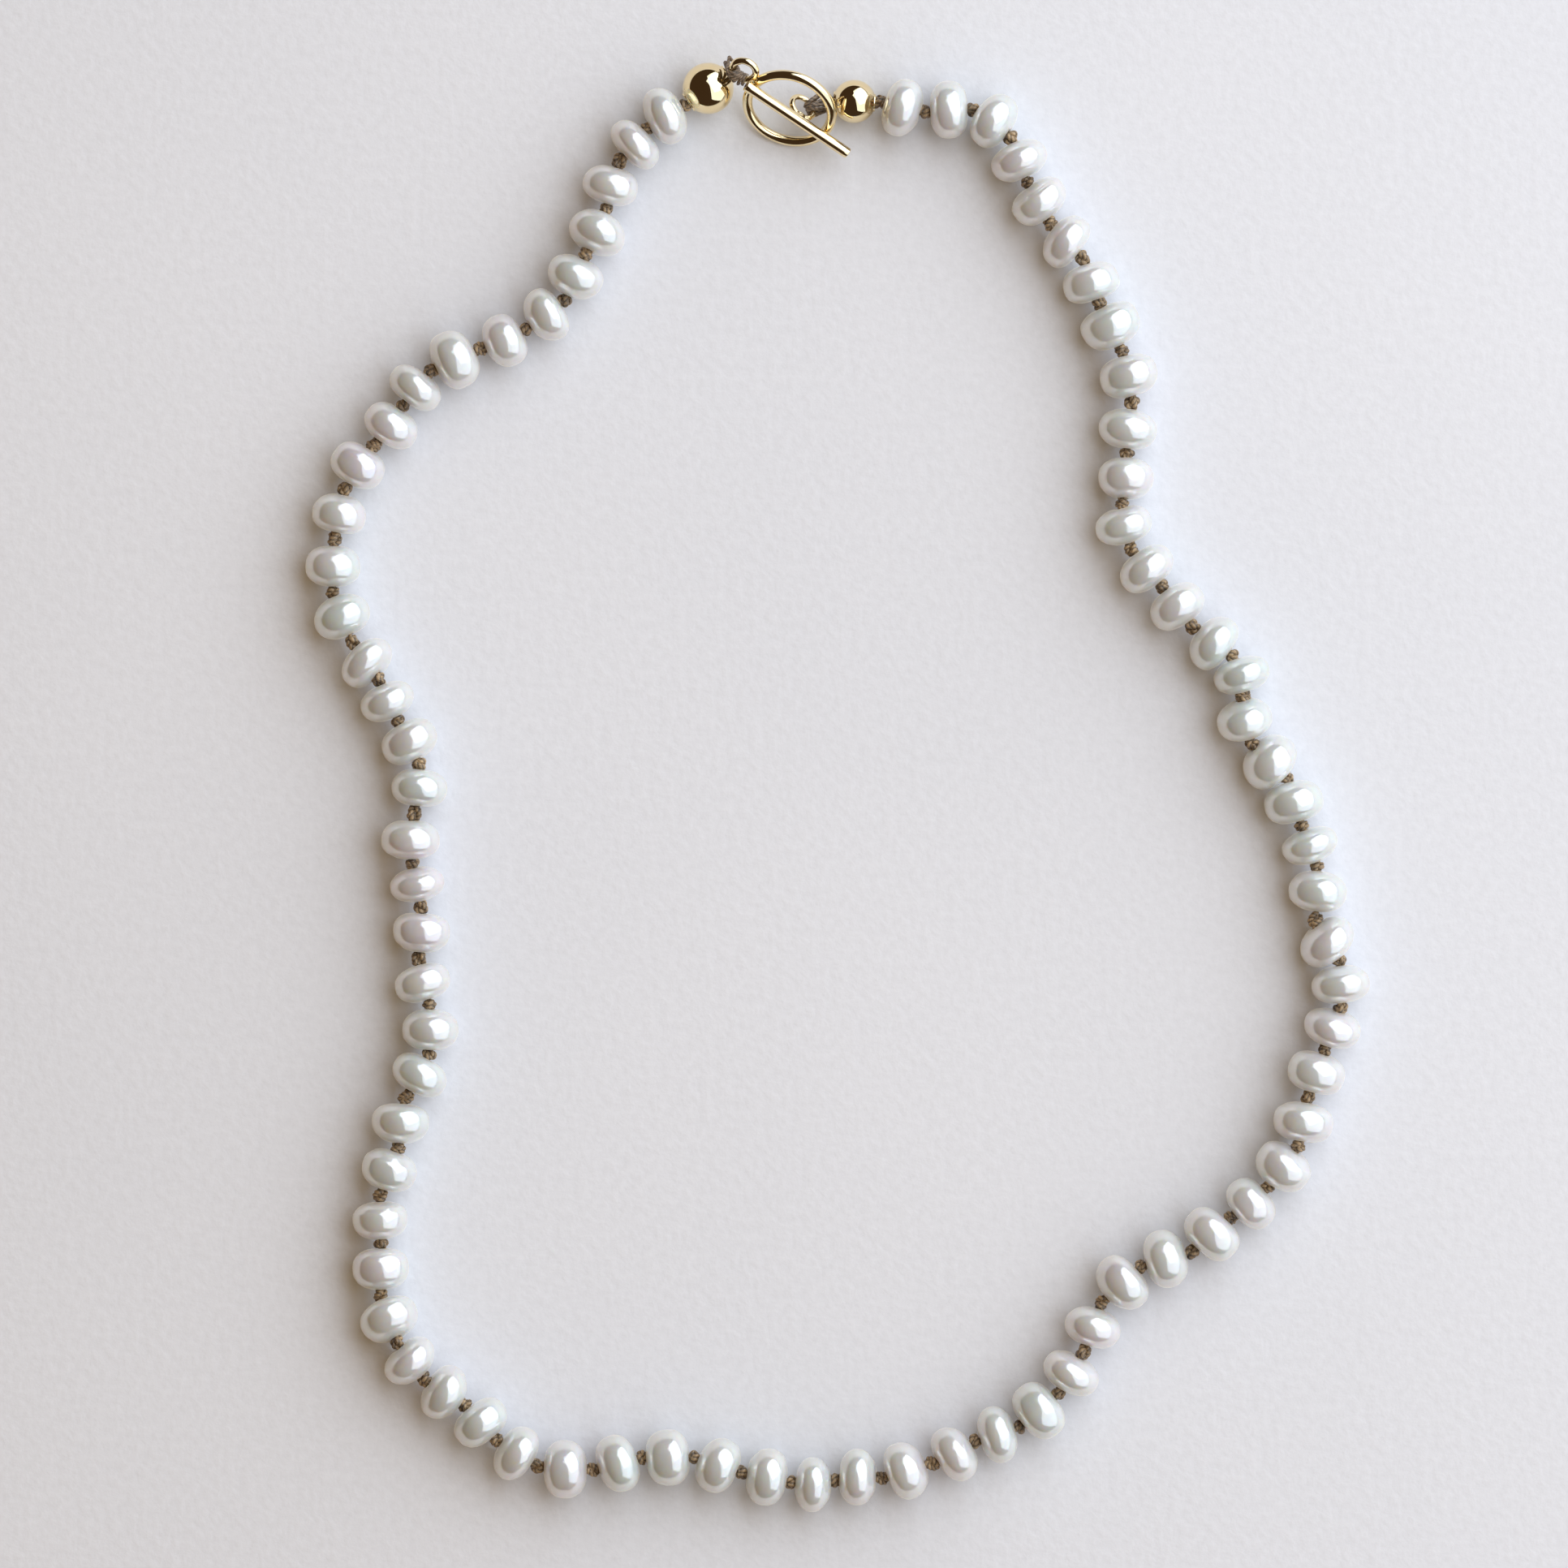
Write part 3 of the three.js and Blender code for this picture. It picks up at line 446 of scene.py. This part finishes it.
def pearl(i, body, cad):
    p = PEARLS[i - 1]
    c, axis, R, h = p[0:3], p[3:6], p[6], p[7]
    rnd = random.Random(7000 + i)
    B = basis(axis)
    # the two faces differ, and the girdle is not quite round
    n1, n2 = rnd.uniform(2.05, 2.55), rnd.uniform(2.05, 2.55)
    skew = rnd.uniform(-0.10, 0.10)                  # the girdle sits nearer one face
    wedge, wphi = rnd.uniform(0.0, 0.075), rnd.uniform(0, 2 * math.pi)
    lobes = [(k, rnd.uniform(0, a), rnd.uniform(0, 2 * math.pi)) for k, a in ((2, 0.018), (3, 0.010), (4, 0.006))]
    dimple = [rnd.uniform(0.05, 0.22), rnd.uniform(0.05, 0.22)]
    grooves = []
    if rnd.random() < 0.34:                          # growth rings round the drill hole
        s = rnd.choice((-1, 1))
        g0 = rnd.uniform(0.45, 0.80)
        for q in range(rnd.choice((1, 2, 3))):
            grooves.append((s * (g0 + 0.09 * q), rnd.uniform(0.035, 0.085), rnd.uniform(0.030, 0.050)))
    pits = [(unit([rnd.gauss(0, 1) for _ in range(3)]), rnd.uniform(0.25, 0.6), rnd.uniform(0.02, 0.07)) for _ in range(rnd.choice((0, 1, 1, 2, 3)))]
    tmax = math.pi / 2
    ts = np.linspace(-tmax, tmax, ALONG)
    prof = []
    for t in ts:
        n = n1 if t < 0 else n2
        e = 2 / n
        u = math.copysign(abs(math.sin(t)) ** e, t)
        v = math.cos(t) ** e if abs(t) < tmax - 1e-9 else 0.0
        prof.append((u, v))
    prof = [q for q in prof if q[1] * R > HOLE * 1.12]
    # rounded lip into the drill hole, then down the hole to the other side
    prof = [(prof[0][0] * 1.0, HOLE / R)] + prof + [(prof[-1][0] * 1.0, HOLE / R)]
    hole_in = [(x, HOLE * 0.93 / R) for x in (0.86, 0.3, -0.3, -0.86)]
    ring = prof + hole_in
    P = []
    for (u, v) in ring:
        for k in range(AROUND):
            a = 2 * math.pi * k / AROUND
            inside = v * R < HOLE * 0.97
            rad = v * R
            uu = u * h
            if not inside:
                sc = 1.0
                for (q, amp, ph) in lobes:
                    sc += amp * math.cos(q * a + ph)
                rad *= sc if v * R > HOLE * 1.05 else 1.0
                w = 1 + wedge * (rad / R) * math.cos(a - wphi) * (1 if u > 0 else -1)
                uu = h * (u * w + skew * (1 - u * u) * v)
                d = dimple[0 if u < 0 else 1]
                uu -= math.copysign(d * math.exp(-(rad / 0.85) ** 2), u)
                for (g, dep, wid) in grooves:
                    f = dep * math.exp(-((u - g) / wid) ** 2)
                    uu -= math.copysign(f * abs(u), u)
                    rad -= f * math.sqrt(max(0.0, 1 - u * u))
            P.append((uu, rad * math.cos(a), rad * math.sin(a)))
    P = np.array(P)
    nout = len(prof) * AROUND
    out = P[:nout]
    nrm = out / np.array([h, R, R])
    nrm /= np.linalg.norm(nrm, axis=1)[:, None]
    for (d, wid, dep) in pits:
        ang = np.arccos(np.clip(nrm @ d, -1, 1))
        out -= (dep * np.exp(-(ang / (wid * 0.35)) ** 2))[:, None] * nrm
    off = Vector((i * 3.7, i * 1.3, -i * 2.1))
    soft = np.array([noise.noise(Vector(q) * 0.42 + off) for q in out])
    small = np.array([noise.noise(Vector(q) * 1.5 + off) for q in out])
    out += (0.060 * soft + 0.006 * small)[:, None] * nrm
    P[:nout] = out
    W = c + P @ B.T
    low = W[:, 2].min()
    W[:, 2] += max(0.0, 0.004 - low)
    faces = [tuple(f) for f in grid_faces(len(ring), AROUND, True, True)]
    ob = outward("pearl_%02d" % i, W, faces)
    return finish_piece(ob, NACRE, "pearl", body, *cad)


owner = {}
for i in range(37, 41):
    owner[i] = "strand_00"
for k, (a, b) in enumerate(LEFT, 1):
    for i in range(b, a + 1):
        owner[i] = "strand_L%02d" % k
for k, (a, b) in enumerate(RIGHT, 1):
    for i in range(a, b + 1):
        owner[i] = "strand_R%02d" % k
for i in range(1, 78):
    pearl(i, owner[i], [owner[i]])


# ------------------------------------------------------------------ knots
def knot_between(name, a, b, seed, body, cad, mat=None, width=0.94, longest=0.86):
    """A pulled-tight overhand knot of two-ply silk that fills the gap from a to b."""
    rnd = random.Random(900 + seed)
    mid, d = (a + b) / 2, b - a
    gap = np.linalg.norm(d)
    B = basis(d)
    half = min(gap / 2 + 0.10, longest)
    W = width * rnd.uniform(0.93, 1.05)
    tube = 0.36 * rnd.uniform(0.94, 1.06)
    spin, hand = rnd.uniform(0, 2 * math.pi), rnd.choice((-1, 1))
    n = 120
    R0, r0 = (W - tube) * 0.60, (W - tube) * 0.40
    pts = []
    for k in range(n):
        t = 2 * math.pi * k / n
        rr = R0 + r0 * math.cos(3 * t)
        x = max(half - tube * 0.8, 0.10) * math.sin(3 * t)
        y, z = rr * math.cos(2 * t * hand + spin), rr * math.sin(2 * t * hand + spin)
        pts.append(mid + B @ arr(x, y, z))
    turns = rope("tmp_a", pts, tube, closed=True, plies=2, lay=0.95, depth=0.34, sides=14, phase=rnd.uniform(0, 6))
    core = rope("tmp_b", [mid - B[:, 0] * half * 1.0, mid - B[:, 0] * half * 0.45, mid, mid + B[:, 0] * half * 0.45, mid + B[:, 0] * half * 1.0],
                W * 0.50, plies=2, lay=1.2, depth=0.1, sides=12, taper=[0.75, 1.0, 1.05, 1.0, 0.75])
    ob = join(name, [turns, core])
    return finish_piece(ob, mat or SILK, "silk", body, *cad)


joint_at = {}
for k, (a, b) in enumerate(LEFT, 1):
    joint_at[a] = ("knot_L%02d" % k, owner[a + 1], owner[a])
for k, (a, b) in enumerate(RIGHT, 1):
    joint_at[a - 1] = ("knot_R%02d" % k, owner[a - 1], owner[a])
for i in range(1, 77):
    a, b = end_of(i, 1), end_of(i + 1, -1)
    mid, d = (a + b) / 2, unit(b - a)
    if i in joint_at:
        cad, parent, child = joint_at[i]
        if owner[i] != parent:
            d = -d
        s, e = (mid - d * 0.55) * MM, (mid + d * 0.55) * MM
        knot_between("silk_knot_%02d" % i, a, b, i, (parent, child, tuple(s), tuple(e)), [cad])
    else:
        knot_between("silk_knot_%02d" % i, a, b, i, owner[i], [])

# the thread through the pearls, in one length for each stretch that stays straight
for body in sorted(set(owner.values())):
    idx = sorted(i for i in owner if owner[i] == body)
    pts = []
    for i in idx:
        for s in (-1.0, 0.0, 1.0):
            pts.append(PEARLS[i - 1][0:3] + s * PEARLS[i - 1][7] * PEARLS[i - 1][3:6])
    if idx[0] > 1:
        pts.insert(0, (pts[0] + end_of(idx[0] - 1, 1)) / 2)
    if idx[-1] < 77:
        pts.append((pts[-1] + end_of(idx[-1] + 1, -1)) / 2)
    fine = []
    for p, q in zip(pts, pts[1:]):
        m = max(2, int(np.linalg.norm(q - p) / 0.25))
        fine += [p + (q - p) * t / m for t in range(m)]
    fine.append(pts[-1])
    ob = rope("thread_%s" % body[7:], fine, 0.27, plies=2, lay=1.1, sides=8)
    finish_piece(ob, SILK, "silk", body)

# ------------------------------------------------------------------ clasp: positions
BEAD_L, AXIS_L, RAD_L = arr(-15.0424, 80.8247, 2.99), arr(0.8141, 0.5807, 0.0), 2.99
BEAD_R, AXIS_R, RAD_R = arr(1.9176, 79.3347, 2.515), arr(0.9976, -0.0698, 0.0), 2.515
RING_C, E1, E2, NRM = arr(-5.5924, 78.4547, 4.1634), arr(0.9511, -0.3090, 0.0), arr(0.2166, 0.6666, 0.7133), arr(-0.2204, -0.6783, 0.7009)
RING_MAJOR, RING_WIRE = 5.01, 0.59
LUG_C, LUG_MAJOR, LUG_WIRE = arr(-10.849, 82.7225, 6.6408), 1.40, 0.41
BAR_C, BAR_D, BAR_R, BAR_LEN = arr(-4.7269, 77.1057, 5.0632), arr(0.8103, -0.5274, -0.2556), 0.645, 14.58
EYE_C, EYE_AXIS, EYE_MAJOR, EYE_WIRE = arr(-4.0736, 78.5811, 3.4659), arr(-0.5430, -0.5116, -0.6659), 1.46, 0.34
HOLD_L, HOLD_R = arr(-12.2509, 82.7581, 6.2344), arr(-3.1514, 78.5035, 2.7044)
WIRE_L, WIRE_R = arr(0.1718, -0.7343, -0.6567), arr(0.4217, -0.8519, 0.3106)
EXIT_L, EXIT_R = BEAD_L + AXIS_L * (RAD_L + 0.05), BEAD_R - AXIS_R * (RAD_R + 0.05)


def lathe(name, profile, origin, axis, sides=64, close=True, hint=(0, 0, 1)):
    """profile: (along, radius) pairs, a closed loop."""
    B = basis(axis, hint)
    V = []
    for (x, r) in profile:
        for k in range(sides):
            a = 2 * math.pi * k / sides
            V.append(origin + B @ arr(x, r * math.cos(a), r * math.sin(a)))
    return outward(name, V, [tuple(f) for f in grid_faces(len(profile), sides, close, True)])


def smooth_corners(profile, cuts=2):
    """Chaikin's corner cutting on a closed profile."""
    p = [arr(*q) for q in profile]
    for _ in range(cuts):
        out = []
        for a, b in zip(p, p[1:] + p[:1]):
            out += [a * 0.75 + b * 0.25, a * 0.25 + b * 0.75]
        p = out
    return [tuple(q) for q in p]


def gold_bead(name, c, axis, R, collar, cad):
    wall, bore = 0.34, 0.62
    prof = []
    a0 = math.asin(collar / R)
    n = 40
    for k in range(n + 1):
        t = a0 + (math.pi - 2 * a0) * k / n
        prof.append((R * math.cos(t), R * math.sin(t)))
    lip = 0.10
    # a turned-out rim at each hole, rolled back into the bore
    x = -R * math.cos(a0)
    left = [(x - 0.03, collar * 0.97), (x - 0.11, collar * 0.99), (x - 0.17, collar * 0.93), (x - 0.17, collar * 0.80), (x - 0.06, bore * 1.05), (x + 0.30, bore)]
    Ri = R - wall
    ai = math.asin(bore / Ri)
    inner = []
    for k in range(13):
        t = math.pi - (ai + (math.pi - 2 * ai) * k / 12)
        inner.append((Ri * math.cos(t), Ri * math.sin(t)))
    right = [(-q[0], q[1]) for q in reversed(left)]
    loop = prof + left + inner + right
    ob = lathe(name, loop, c, axis, 72)
    return finish_piece(ob, GOLD, "gold", cad, cad)


gold_bead("bead_gold_left", BEAD_L, AXIS_L, RAD_L, 1.28, "gold_bead_left")
gold_bead("bead_gold_right", BEAD_R, AXIS_R, RAD_R, 1.05, "gold_bead_right")

knot_between("silk_end_knot_left", end_of(1, -1), BEAD_L - AXIS_L * (RAD_L + 0.02), 301, "strand_L12", ["end_knot_left"], width=0.95)
knot_between("silk_end_knot_right", end_of(77, 1), BEAD_R + AXIS_R * (RAD_R + 0.02), 302, "strand_R12", ["end_knot_right"], width=0.95)


def ring_mesh(name, major, wire, c, e1, e2, n=180, sides=28, flat=1.0, wob=0.0, seed=0):
    V = []
    nn = np.cross(e1, e2)
    off = Vector((seed * 5.1, 2.0, 1.0))
    for i in range(n):
        t = 2 * math.pi * i / n
        d = math.cos(t) * e1 + math.sin(t) * e2
        w = 1 + wob * noise.noise(Vector((math.cos(t), math.sin(t), 0)) * 2.2 + off)
        for k in range(sides):
            a = 2 * math.pi * k / sides
            V.append(c + d * (major + wire * w * math.cos(a)) + nn * (wire * w * flat * math.sin(a)))
    return outward(name, V, [tuple(f) for f in grid_faces(n, sides, True, True)])


ob = ring_mesh("clasp_ring", RING_MAJOR, RING_WIRE, RING_C, E1, E2, wob=0.03, seed=1)
finish_piece(ob, GOLD_WIRE, "gold", "toggle_ring", "toggle_ring")
LUG_DIR = unit(LUG_C - RING_C)
ob = ring_mesh("clasp_attaching_ring", LUG_MAJOR, LUG_WIRE, LUG_C, E1, E2, n=96, sides=20, wob=0.08, seed=2)
finish_piece(ob, GOLD_WIRE, "gold", "toggle_ring", "toggle_ring")


def fillet(name, base, top, r_base, r_mid, r_top, hint, body, cad, squeeze=1.0):
    """Solder drawn up between two wires."""
    d = top - base
    L = np.linalg.norm(d)
    prof = [(-0.10, 0.02)]
    for k in range(11):
        t = k / 10
        r = r_mid + (r_base - r_mid) * (1 - t) ** 2.2 + (r_top - r_mid) * t ** 2.2
        prof.append((t * L, r))
    prof.append((L + 0.10, 0.02))
    B = basis(d, hint)
    V = []
    for (x, r) in prof:
        for k in range(28):
            a = 2 * math.pi * k / 28
            V.append(base + B @ arr(x, r * math.cos(a), r * squeeze * math.sin(a)))
    faces = [tuple(f) for f in grid_faces(len(prof), 28, False, True)]
    faces.append(tuple(range(27, -1, -1)))
    faces.append(tuple(range((len(prof) - 1) * 28, len(prof) * 28)))
    ob = outward(name, V, faces)
    return finish_piece(ob, GOLD_WIRE, "gold", body, cad)


fillet("clasp_ring_solder", RING_C + LUG_DIR * (RING_MAJOR + RING_WIRE - 0.22), LUG_C - LUG_DIR * (LUG_MAJOR - 0.05), 0.72, 0.40, 0.52, NRM, "toggle_ring", "toggle_ring", 0.72)

# ------------------------------------------------------------------ toggle bar and its eye
half = BAR_LEN / 2
prof = [(-half, 0.0001), (-half, BAR_R - 0.09), (-half + 0.03, BAR_R - 0.03), (-half + 0.10, BAR_R)]
for k in range(1, 24):
    prof.append((-half + 0.10 + (BAR_LEN - 0.20) * k / 24, BAR_R))
prof += [(half - 0.10, BAR_R), (half - 0.03, BAR_R - 0.03), (half, BAR_R - 0.09), (half, 0.0001)]
B = basis(BAR_D, NRM)
V = []
SIDES = 40
for (x, r) in prof:
    for k in range(SIDES):
        a = 2 * math.pi * k / SIDES
        V.append(BAR_C + B @ arr(x, r * math.cos(a), r * math.sin(a)))
faces = [tuple(f) for f in grid_faces(len(prof), SIDES, False, True)]
faces.append(tuple(range(SIDES - 1, -1, -1)))
faces.append(tuple(range((len(prof) - 1) * SIDES, len(prof) * SIDES)))
ob = outward("clasp_bar", V, faces)
mod = ob.modifiers.new("edge", "EDGE_SPLIT")
mod.split_angle = math.radians(50)
finish_piece(ob, GOLD_WIRE, "gold", "toggle_bar", "toggle_bar")

eye_x = unit(BAR_D)
eye_y = unit(np.cross(EYE_AXIS, eye_x))
ob = ring_mesh("clasp_bar_eye", EYE_MAJOR, EYE_WIRE, EYE_C, eye_x, eye_y, n=96, sides=20, wob=0.08, seed=3)
finish_piece(ob, GOLD_WIRE, "gold", "toggle_bar", "toggle_bar")
EYE_TOP = EYE_C + unit(NRM) * (EYE_MAJOR - 0.05)
fillet("clasp_bar_solder", EYE_C + NRM * (EYE_MAJOR + 0.75), EYE_TOP - NRM * 0.05, 0.62, 0.44, 0.50, BAR_D, "toggle_bar", "toggle_bar", 1.5)


# ------------------------------------------------------------------ silk at the clasp
def loop_points(hold, tail, tangent, turn, lean, n=64, spread=0.0):
    x = tail - hold
    x = x - (x @ tangent) * tangent
    reach = np.linalg.norm(x)
    x = unit(x)
    y = np.cross(tangent, x)
    pts = []
    for k in range(n):
        a = 2 * math.pi * k / n
        pull = max(0.0, math.cos(a))
        px = turn * math.cos(a) + (reach - turn) * pull ** 3
        py = turn * math.sin(a) * (1 - 0.55 * pull * pull)
        side = spread * (1 - pull ** 2 * 0.75) + lean * math.sin(a)
        pts.append(hold + x * px + y * py + tangent * side)
    return pts


def wraps(name, c, e1, e2, major, tail, spreads, body, cad, turn=0.80, thick=0.225, seed=0):
    """Turns of thread round a ring's wire, fanned out along it, each coming back to the bead's hole."""
    obs = []
    rnd = random.Random(40 + seed)
    mid = math.atan2((tail - c) @ e2, (tail - c) @ e1)
    for q, sp in enumerate(spreads):
        a = mid + math.radians(sp)
        hold = c + major * (math.cos(a) * e1 + math.sin(a) * e2)
        tangent = -math.sin(a) * e1 + math.cos(a) * e2
        near = tail + 0.16 * sp / 45.0 * unit(np.cross(tail - c, np.cross(e1, e2)))
        pts = loop_points(hold, near, tangent, turn + rnd.uniform(-0.05, 0.07), rnd.uniform(-0.12, 0.12))
        obs.append(rope("tmp_%d" % q, pts, thick, closed=True, plies=2, lay=1.1, depth=0.34, sides=14, phase=rnd.uniform(0, 6)))
    ob = join(name, obs)
    return finish_piece(ob, SILK_WRAP, "silk", body, cad)


wraps("silk_wraps_left", LUG_C, E1, E2, LUG_MAJOR, EXIT_L + unit(HOLD_L - EXIT_L) * 0.1, (-46, -29, -12, 5, 22, 39), "strand_L12", "silk_loop_left", turn=0.64, thick=0.205, seed=1)
wraps("silk_wraps_right", EYE_C, eye_x, eye_y, EYE_MAJOR, EXIT_R + unit(HOLD_R - EXIT_R) * 0.1, (-26, -9, 8, 25), "silk_loop_right", "silk_loop_right", turn=0.60, thick=0.23, seed=2)
for name, c, axis, R, end, body, cad in (("silk_through_bead_left", BEAD_L, AXIS_L, RAD_L, -1, "strand_L12", "silk_tail_left"), ("silk_through_bead_right", BEAD_R, AXIS_R, RAD_R, 1, "strand_R12", "silk_tail_right")):
    obs = []
    for q in (-1, 1):
        pts = []
        for k in range(40):
            t = k / 39
            a = 2 * math.pi * 2.0 * t + (0 if q < 0 else math.pi)
            Bx = basis(axis)
            pts.append(c + axis * (R * (2.14 * t - 1.07)) + 0.20 * (math.cos(a) * Bx[:, 1] + math.sin(a) * Bx[:, 2]))
        obs.append(rope("tmp_t%d" % q, pts, 0.22, plies=2, lay=1.0, sides=10))
    ob = join(name, obs)
    finish_piece(ob, SILK_WRAP, "silk", body, cad)

# ------------------------------------------------------------------ floor, light, camera
def floor_material():
    m, nt, b = material("paper")
    L = nt.links.new
    tc = node(nt, "ShaderNodeTexCoord")
    n1 = node(nt, "ShaderNodeTexNoise")
    n1.inputs["Scale"].default_value = 14.0
    n1.inputs["Detail"].default_value = 4.0
    L(tc.outputs["Object"], n1.inputs["Vector"])
    ramp = node(nt, "ShaderNodeValToRGB")
    ramp.color_ramp.elements[0].position, ramp.color_ramp.elements[0].color = 0.3, (0.700, 0.710, 0.750, 1)
    ramp.color_ramp.elements[1].position, ramp.color_ramp.elements[1].color = 0.7, (0.722, 0.730, 0.768, 1)
    L(n1.outputs["Fac"], ramp.inputs["Fac"])
    L(ramp.outputs["Color"], b.inputs["Base Color"])
    n2 = node(nt, "ShaderNodeTexNoise")
    n2.inputs["Scale"].default_value = 900.0
    n2.inputs["Detail"].default_value = 5.0
    L(tc.outputs["Object"], n2.inputs["Vector"])
    fleck = node(nt, "ShaderNodeMapRange")
    fleck.inputs["From Min"].default_value = 0.3
    fleck.inputs["From Max"].default_value = 0.7
    fleck.inputs["To Min"].default_value = 0.972
    fleck.inputs["To Max"].default_value = 1.022
    L(n2.outputs["Fac"], fleck.inputs["Value"])
    tone = node(nt, "ShaderNodeMix", data_type="RGBA", blend_type="MULTIPLY")
    tone.inputs["Factor"].default_value = 1.0
    L(ramp.outputs["Color"], tone.inputs["A"])
    L(fleck.outputs["Result"], tone.inputs["B"])
    L(tone.outputs["Result"], b.inputs["Base Color"])
    bump = node(nt, "ShaderNodeBump")
    bump.inputs["Strength"].default_value = 0.20
    bump.inputs["Distance"].default_value = 0.0003
    L(n2.outputs["Fac"], bump.inputs["Height"])
    L(bump.outputs["Normal"], b.inputs["Normal"])
    b.inputs["Roughness"].default_value = 0.85
    b.inputs["Specular IOR Level"].default_value = 0.2
    # the sheet of paper ends well outside the necklace, with no hard edge
    away = node(nt, "ShaderNodeVectorMath", operation="LENGTH")
    L(tc.outputs["Object"], away.inputs[0])
    edge = node(nt, "ShaderNodeMapRange", interpolation_type="SMOOTHSTEP")
    edge.inputs["From Min"].default_value = 0.20
    edge.inputs["From Max"].default_value = 0.42
    L(away.outputs["Value"], edge.inputs["Value"])
    clear = node(nt, "ShaderNodeBsdfTransparent")
    both = node(nt, "ShaderNodeMixShader")
    L(edge.outputs["Result"], both.inputs[0])
    L(b.outputs[0], both.inputs[1])
    L(clear.outputs[0], both.inputs[2])
    out = next(n for n in nt.nodes if n.type == "OUTPUT_MATERIAL")
    L(both.outputs[0], out.inputs["Surface"])
    return m


me = bpy.data.meshes.new("floor")
S = 3.0
me.from_pydata([(-S, -S, 0), (S, -S, 0), (S, S, 0), (-S, S, 0)], [], [(0, 1, 2, 3)])
floor = bpy.data.objects.new("floor", me)
bpy.context.scene.collection.objects.link(floor)
floor.data.materials.append(floor_material())


def area(name, loc, target, sx, sy, radiance, colour=(1, 1, 1)):
    la = bpy.data.lights.new(name, "AREA")
    la.shape = "RECTANGLE"
    la.size, la.size_y = sx, sy
    la.energy = radiance * math.pi * sx * sy
    la.color = colour
    ob = bpy.data.objects.new(name, la)
    ob.location = loc
    ob.rotation_mode = "QUATERNION"
    ob.rotation_quaternion = (Vector(target) - Vector(loc)).to_track_quat("-Z", "Y")
    bpy.context.scene.collection.objects.link(ob)
    return ob


def towards(az, el, dist):
    a, e = math.radians(az), math.radians(el)
    return (dist * math.cos(e) * math.cos(a), dist * math.cos(e) * math.sin(a), dist * math.sin(e))


area("window", towards(12, 42, 0.84), (0.0, 0.0, 0.0), 2.94, 1.33, 1.40, (0.838, 0.945, 1.068))
area("sky", towards(38, 41, 0.82), (0.0, 0.0, 0.0), 1.19, 1.12, 1.40, (0.846, 0.945, 1.063))

world = bpy.data.worlds.new("room")
bpy.context.scene.world = world
world.use_nodes = True
wn = world.node_tree
# a dim room behind whoever looks, which is what the polished metal shows, with warm light off its walls
WL = wn.links.new
bg = wn.nodes["Background"]
lp = wn.nodes.new("ShaderNodeLightPath")
room = wn.nodes.new("ShaderNodeMix")
room.data_type = "RGBA"
room.inputs["A"].default_value = (0.295, 0.170, 0.038, 1)
room.inputs["B"].default_value = (0.046, 0.028, 0.016, 1)
WL(lp.outputs["Is Glossy Ray"], room.inputs["Factor"])
seen = wn.nodes.new("ShaderNodeMix")
seen.data_type = "RGBA"
WL(room.outputs["Result"], seen.inputs["A"])
seen.inputs["B"].default_value = (0.70, 0.69, 0.71, 1)
WL(lp.outputs["Is Camera Ray"], seen.inputs["Factor"])
WL(seen.outputs["Result"], bg.inputs["Color"])
bg.inputs["Strength"].default_value = 1.0

cam = bpy.data.cameras.new("camera")
cam.sensor_width = 36.0
DIST = 1.40
cam.lens = 36.0 * DIST / 0.1820
cam.clip_start, cam.clip_end = 0.05, 20.0
co = bpy.data.objects.new("camera", cam)
co.location = (-0.006234, 0.000064, 0.0033 + DIST)
co.rotation_euler = (0, 0, 0)
bpy.context.scene.collection.objects.link(co)
bpy.context.scene.camera = co
bpy.context.scene.view_settings.view_transform = "Standard"

bpy.context.view_layer.update()
